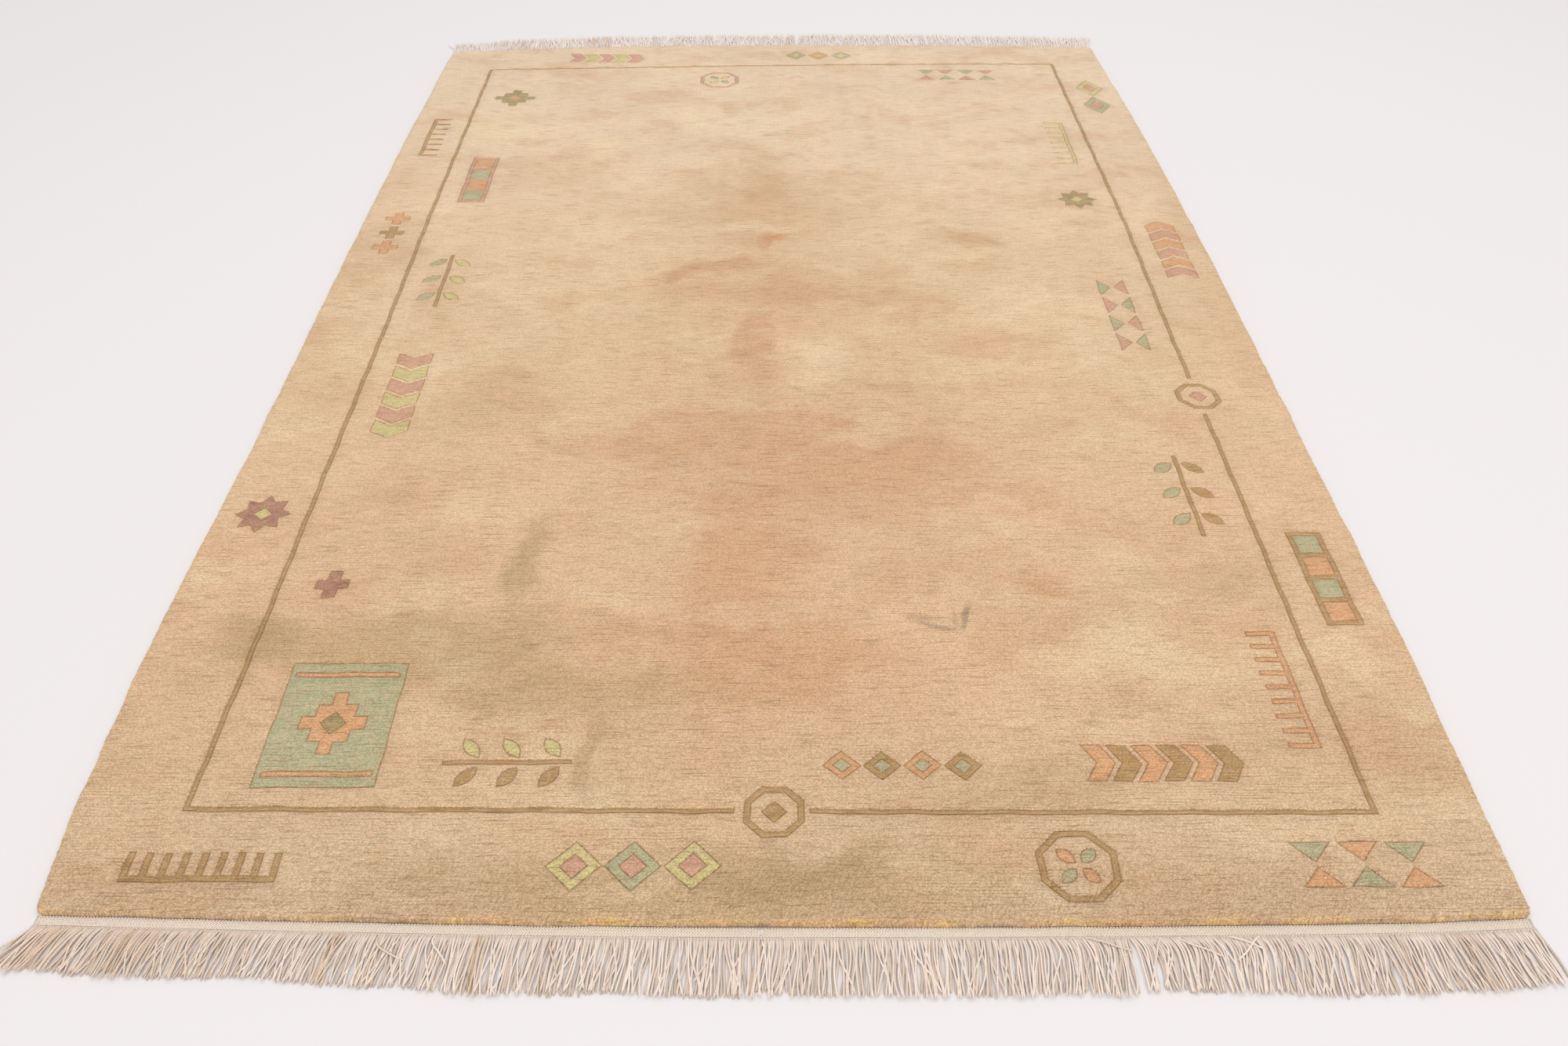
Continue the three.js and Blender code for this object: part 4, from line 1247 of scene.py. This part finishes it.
# The lower cords get at least this much yellow: partly dust, partly painted warm shade under the upper layer
LOWER_DUST_AND_WARM_SHADE = 0.3


def bundles(rng, places, layer):
    """Where each cord's bundle draws it to, and how strongly."""
    drawn_to, pulls, i = np.zeros(len(places)), np.zeros(len(places)), 0
    while i < len(places):
        size = int(rng.integers(2, 9))
        drawn_to[i:i + size] = places[i:i + size].mean() + rng.normal(0, 0.0008)
        pulls[i:i + size] = rng.uniform(0.0, BUNDLE_PULL) * layer
        i += size
    return drawn_to, pulls


def yellowing(rng, end, roots):
    """How yellow each cord is: more near the places in the table, and a little by chance."""
    tint = np.zeros(len(roots))
    for place, reach, strength in YELLOWED[end]:
        tint = np.maximum(tint, strength * np.exp(-((roots - place) / reach) ** 2))
    own, stray = rng.uniform(0.5, 1.1, len(roots)), np.maximum(rng.normal(0, 0.1, len(roots)), 0)
    return np.clip(tint * own + stray, 0, 1)


def fringe_cords(end, seed, layer):
    """One layer of an end's cords: paths, thicknesses, how yellow each is, and a random lightness for each."""
    rng = np.random.default_rng(seed)
    lie = FRINGE[end]
    between = 0.0011 * (1 - layer)
    places = np.linspace(0.002, 0.9968, CORDS_PER_END) + between + rng.normal(0, 0.00018, CORDS_PER_END)
    t = np.linspace(0, 1, CORD_STEPS)
    drawn_to, pulls = bundles(rng, places, layer)
    knots = np.arange(0, CORDS_PER_END + 11, 11)
    drift = DRIFT * np.interp(np.arange(CORDS_PER_END), knots, rng.normal(0, 1, len(knots)))
    paths, roots = [], []
    for k, place in enumerate(places):
        length = read(lie, "length", place) + EXTRA_LENGTH * layer + rng.normal(0, 1.6) + drift[k]
        jitter = (1 + 2 * layer) * rng.normal(0, 1, 2) + drift[k] * np.array([0.3, 1])
        if layer and rng.random() < CROSSING_SHARE:
            jitter[1] += rng.choice([-1, 1]) * rng.uniform(*CROSSING_TURN)
        leave, settle = read(lie, "leave", place) + jitter[0], read(lie, "settle", place) + jitter[1]
        flat_path = cord_path(end, place, leave, settle, length, rng.uniform(2.0, 11.0), rng.random())
        flat_path[:, 0] += (drawn_to[k] - place) * RUG_WIDTH * pulls[k] * smooth(t * 1.1 - 0.15)
        crowd = pulls[k] * smooth(t * 1.2 - 0.2)
        height = 1.1 * LOWER_RADIUS + layer * LAYER_RISE * smooth(t * 4) + (k % 2) * 1.6 * crowd
        height = height + layer * (rng.uniform(0, 0.5) * t + rng.uniform(0, 1.2) * smooth(4 * t - 3))
        paths.append(np.column_stack([flat_path, height]))
        roots.append(place)
    for place, leave, settle, length in STRAYS[end] if layer else []:
        flat_path = cord_path(end, place, leave, settle, length, 6.0, rng.random())
        height = CORD_RADIUS + 4.2 * smooth(t * 6) + 0.9 * np.sin(np.pi * t)
        paths.append(np.column_stack([flat_path, height]))
        roots.append(place)
    paths, roots = np.array(paths), np.array(roots)
    thickness = np.clip(1 + rng.normal(0, 0.06, (len(paths), 1)), 0.85, 1.08)
    radii = (CORD_RADIUS if layer else LOWER_RADIUS) * thickness * np.ones(CORD_STEPS)
    radii[:, 0] *= 0.8
    radii[:, -1] *= 0.55
    radii[:, -2] *= 1.08
    return paths, radii, yellowing(rng, end, roots), rng.uniform(-0.4, 0.4, len(paths))


def cords_piece(end, seed):
    layers = []
    for lie, layer_tone_and_shade in LAYERS[end]:
        paths, radii, tint, tone_and_painted_shade = fringe_cords(end, seed + 100 * lie, lie)
        # Each layer's tone is added to its cords' own: painted shade and dust darken the lower layer
        layers.append((paths, radii, np.maximum(tint, LOWER_DUST_AND_WARM_SHADE * (1 - lie)), tone_and_painted_shade + layer_tone_and_shade))
    paths, radii, tint, tone_and_painted_shade = (np.concatenate(parts) for parts in zip(*layers))
    points, faces, along, which = tubes(paths, radii, CORD_SIDES)
    made = piece(end + "_cords", points, faces)
    add_values(made, "yellowing_and_warm_shade", tint[which])
    add_values(made, "tone_and_painted_shade", tone_and_painted_shade[which])
    add_values(made, "along", along)
    print(made.name, len(paths), "cords,", sum(len(face) - 2 for face in faces), "triangles")
    return made


front_cords = cords_piece("front", 11)
back_cords = cords_piece("back", 23)

# %% [markdown]
# ## The knitted tape
# The fringe comes on a tape: three rows of small zigzag stitches and a cord along the rim, all in the same
# cotton. It is sewn to the rug so that its first row lies under the pile. Stitches could be a bump on a flat
# band, but this band lies nearest to the camera, so the yarn is modelled, and a plain band closes it below.

# %% Tape: band, stitches and rim cord
STITCH, YARN_RADIUS = 4.2, 0.74
STITCH_ROWS = [2.8, 7.4, 12.0]
BAND_SECTION = [(0.8, 0.1), (0.8, 1.35), (13.6, 1.35), (15.2, 1.1), (15.2, 0.1)]  # out from the edge, height
BAND_STEPS = 120
RIM_OUT, RIM_HEIGHT, RIM_RADIUS, RIM_STEPS = 16.2, 1.75, 1.1, 420
# The band is set darker than the stitches and rim: painted shade under the stitches
BAND_PAINTED_SHADE, STITCH_TONE, RIM_TONE = -0.7, 1.0, 0.3


def along_end(end, across, out, height):
    outwards = -1 if end == "front" else 1
    base = end_point(end, across)
    return np.column_stack([base[:, 0], base[:, 1] + outwards * out, height])


def stitch_row(end, out, seed):
    """One row of zigzag yarn from corner to corner."""
    rng = np.random.default_rng(seed)
    turns = int(RUG_WIDTH / STITCH)
    k = np.arange(turns * 4)
    swing = np.where(k % 4 < 2, 1, -1)
    place = (k // 2 * STITCH / 2 + np.where(k % 2, 0.32, -0.32) * STITCH / 2) / (turns * STITCH)
    place = 0.003 + 0.994 * (place + rng.normal(0, 0.00003, len(k)))
    lean_out = out + 2.1 * swing + rng.normal(0, 0.12, len(k))
    height = 1.75 + 0.25 * swing + rng.normal(0, 0.05, len(k))
    return along_end(end, place, lean_out, height)


def band(end):
    """The flat band under the stitches, as a closed strip."""
    across = np.linspace(0.0015, 0.9985, BAND_STEPS)
    level = np.ones(BAND_STEPS)
    lines = [along_end(end, across, level * out, level * height) for out, height in BAND_SECTION]
    points = np.stack(lines, 1).reshape(-1, 3)
    number = np.arange(len(points)).reshape(BAND_STEPS, len(BAND_SECTION))
    a, b = number[:-1], number[1:]
    walls = np.stack([a, np.roll(a, -1, 1), np.roll(b, -1, 1), b], -1).reshape(-1, 4)
    faces = [*walls.tolist(), number[0, ::-1].tolist(), number[-1].tolist()]
    if outward_volume(points, faces) < 0:
        faces = [face[::-1] for face in faces]
    return points, faces


def tape_piece(end, seed):
    parts, tones = [band(end)], [BAND_PAINTED_SHADE]
    for k, out in enumerate(STITCH_ROWS):
        path = stitch_row(end, out, seed + k)[None]
        points, faces, *_ = tubes(path, np.full(path.shape[:2], YARN_RADIUS), 4)
        parts.append((points, faces))
        tones.append(STITCH_TONE)
    across = np.linspace(0.0008, 0.9992, RIM_STEPS)
    rng = np.random.default_rng(seed + 9)
    wave = 0.25 * np.sin(np.linspace(0, 60, RIM_STEPS)) + rng.normal(0, 0.06, RIM_STEPS)
    height = np.full(RIM_STEPS, RIM_HEIGHT) + rng.normal(0, 0.05, RIM_STEPS)
    path = along_end(end, across, RIM_OUT + wave, height)[None]
    points, faces, *_ = tubes(path, np.full((1, RIM_STEPS), RIM_RADIUS), 8)
    parts.append((points, faces))
    tones.append(RIM_TONE)
    all_points, all_faces, start = [], [], 0
    for points, faces in parts:
        all_points.append(points)
        all_faces += [[start + i for i in face] for face in faces]
        start += len(points)
    made = piece(end + "_tape", np.vstack(all_points), all_faces)
    add_values(made, "tone_and_painted_shade", np.repeat(tones, [len(points) for points, _ in parts]))
    print(made.name, sum(len(f) - 2 for f in all_faces), "triangles")
    return made


front_tape = tape_piece("front", 41)
back_tape = tape_piece("back", 57)

# %% [markdown]
# ## A loose knot
# Near the middle of the front a small knot of white yarn sits on the tape, where the sewing thread was tied
# off. It is a short tube along a trefoil, the path of a simple overhand knot.

# %% The sewing thread's knot
KNOT_ACROSS, KNOT_OUT, KNOT_HEIGHT, KNOT_SIZE = 0.481, 8.0, 3.4, 1.15
THREAD_RADIUS, THREAD_TONE = 0.75, 0.8
turn = np.linspace(0, 2 * np.pi, 40)
knot_middle = along_end("front", *np.array([[KNOT_ACROSS], [KNOT_OUT], [KNOT_HEIGHT]]))[0]
knot_path = knot_middle + KNOT_SIZE * np.stack([
    np.sin(turn) + 2 * np.sin(2 * turn), np.cos(turn) - 2 * np.cos(2 * turn), -0.7 * np.sin(3 * turn),
], 1)
points, faces, *_ = tubes(knot_path[None], np.full((1, len(turn)), THREAD_RADIUS), 6)
loose_knot = piece("loose_knot", points, faces)
add_values(loose_knot, "tone_and_painted_shade", np.full(len(points), THREAD_TONE))
print("knot:", len(points), "points")

# %% [markdown]
# ## The fringe's cotton
# Undyed cotton, gone cream. Each cord has its own tone, some have yellowed, and the twist shows as slanting
# lines across the cord, painted darker between its plies as shade. The lines follow a value kept along each
# cord, so they turn with it. The lower fringe cords are painted darker and yellower, partly as dust and
# partly as shade under the upper cords, and the tape's band darker, as shade under its stitches.

# %% Cotton
def cotton(name, things, base, aged, twisted):
    tree, shader = material(name, things, 0.85, sheen=0.45)
    at = node(tree, "TexCoord").outputs["Object"]
    nap = placed_group(tree, "nap", {"Vector": at, "Tufts per metre": 700.0})
    wide = noise_of(tree, at, 7.0, 2.0)[0]
    colour = mixed(tree, ranged(tree, wide, 0.3, 0.7, 0.0, 0.3), solid(base), solid(aged))
    relief = nap["Height"]
    tone_and_painted_shade = mark(tree, "tone_and_painted_shade")["Fac"]
    # Brightness from each piece's tone, which holds painted shade on the lower cords and on the tape's band
    light = evenly(tree, tone_and_painted_shade, -1.0, 1.0, 0.62, 1.04)
    if twisted:
        yellowing_and_warm_shade = mark(tree, "yellowing_and_warm_shade")["Fac"]
        along = mark(tree, "along")["Fac"]
        # Yellowing, and on the lower cords also painted warm shade
        colour = mixed(tree, yellowing_and_warm_shade, colour, solid("#d6ae80"))
        parts = node(tree, "SeparateXYZ", {0: at}).outputs
        slant = maths(tree, "MULTIPLY_ADD", parts["X"], 1000.0, product(tree, parts["Z"], 1000.0))
        twist = maths(tree, "SINE", maths(tree, "MULTIPLY_ADD", along, 1.9, slant))
        relief = maths(tree, "MULTIPLY_ADD", twist, 0.35, relief)
        # Slanting lines darker between the twist's plies: painted shade, beside the twist's bump
        light = product(tree, light, ranged(tree, twist, -1.0, 1.0, 0.94, 1.02))
    colour = mixed(tree, 1.0, colour, light, "MULTIPLY")
    # Tuft tones with painted shade on their crowns and in the gaps
    colour = mixed(tree, 1.0, colour, ranged(tree, nap["Tuft tone and shade"], 0, 1, 0.95, 1.03), "MULTIPLY")
    dressed(tree, shader, colour, relief, 0.5, 0.0007)


cotton("fringe_cotton", [front_cords, back_cords], "#f9e8db", "#f0dac8", True)
cotton("tape_cotton", [front_tape, back_tape], "#fff0de", "#f8e4ce", False)
cotton("thread_cotton", [loose_knot], "#f6f0ea", "#efe8de", False)

# %% [markdown]
# ## What stands for what
# Each new piece rides on the rug's one body and replaces a node of the imported model. The pile is cloth laid
# on the floor.

# %% Bodies, and the imported nodes hidden
for made, nodes, slot in (
    (carved_pile, "rug_body", "wool_pile"),
    (front_tape, "fringe_front", "cotton_fringe"), (front_cords, "fringe_front", "cotton_fringe"),
    (back_tape, "fringe_back", "cotton_fringe"), (back_cords, "fringe_back", "cotton_fringe"),
    (loose_knot, "fringe_front", "cotton_fringe"),
):
    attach(made, "root")
    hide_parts(nodes)

# %% [markdown]
# ## Floor and light
# The photograph was taken in a bright studio: the floor is almost white, and shadows are faint. A big soft
# lamp hangs above, a white screen stands behind the camera and lights what faces the front, and the sky's
# even light fills the rest.

# %% Floor, lamps and sky
FLOOR_SIZE, FLOOR_COLOUR = 40, (0.768, 0.738, 0.736, 1)
SKY_COLOUR, SKY_STRENGTH = (1, 0.995, 0.99, 1), 0.74
bpy.ops.mesh.primitive_plane_add(size=FLOOR_SIZE, location=(0, 0, 0))
floor = bpy.context.object
floor.name = "floor"
tree, shader = material("studio_floor", [floor], 0.7)
shader.inputs["Base Color"].default_value = FLOOR_COLOUR


def soft_lamp(name, place, aimed_at, width, height, watts):
    lamp = bpy.data.objects.new(name, bpy.data.lights.new(name, "AREA"))
    lamp.data.shape = "RECTANGLE"
    lamp.data.size, lamp.data.size_y, lamp.data.energy = width, height, watts
    lamp.location = place
    lamp.rotation_euler = (Vector(aimed_at) - Vector(place)).to_track_quat("-Z", "Y").to_euler()
    bpy.context.collection.objects.link(lamp)


soft_lamp("overhead_lamp", (0.7, 0.5, 6.0), (0.7, 0.5, 0), 8, 8, 198)
soft_lamp("front_screen", (0.2, -7.5, 3.6), (0, -1.2, 0), 8, 3.6, 140)

sky = bpy.data.worlds.new("studio")
sky.use_nodes = True
background = sky.node_tree.nodes["Background"].inputs
background["Color"].default_value, background["Strength"].default_value = SKY_COLOUR, SKY_STRENGTH
bpy.context.scene.world = sky
bpy.context.scene.view_settings.view_transform = "Standard"
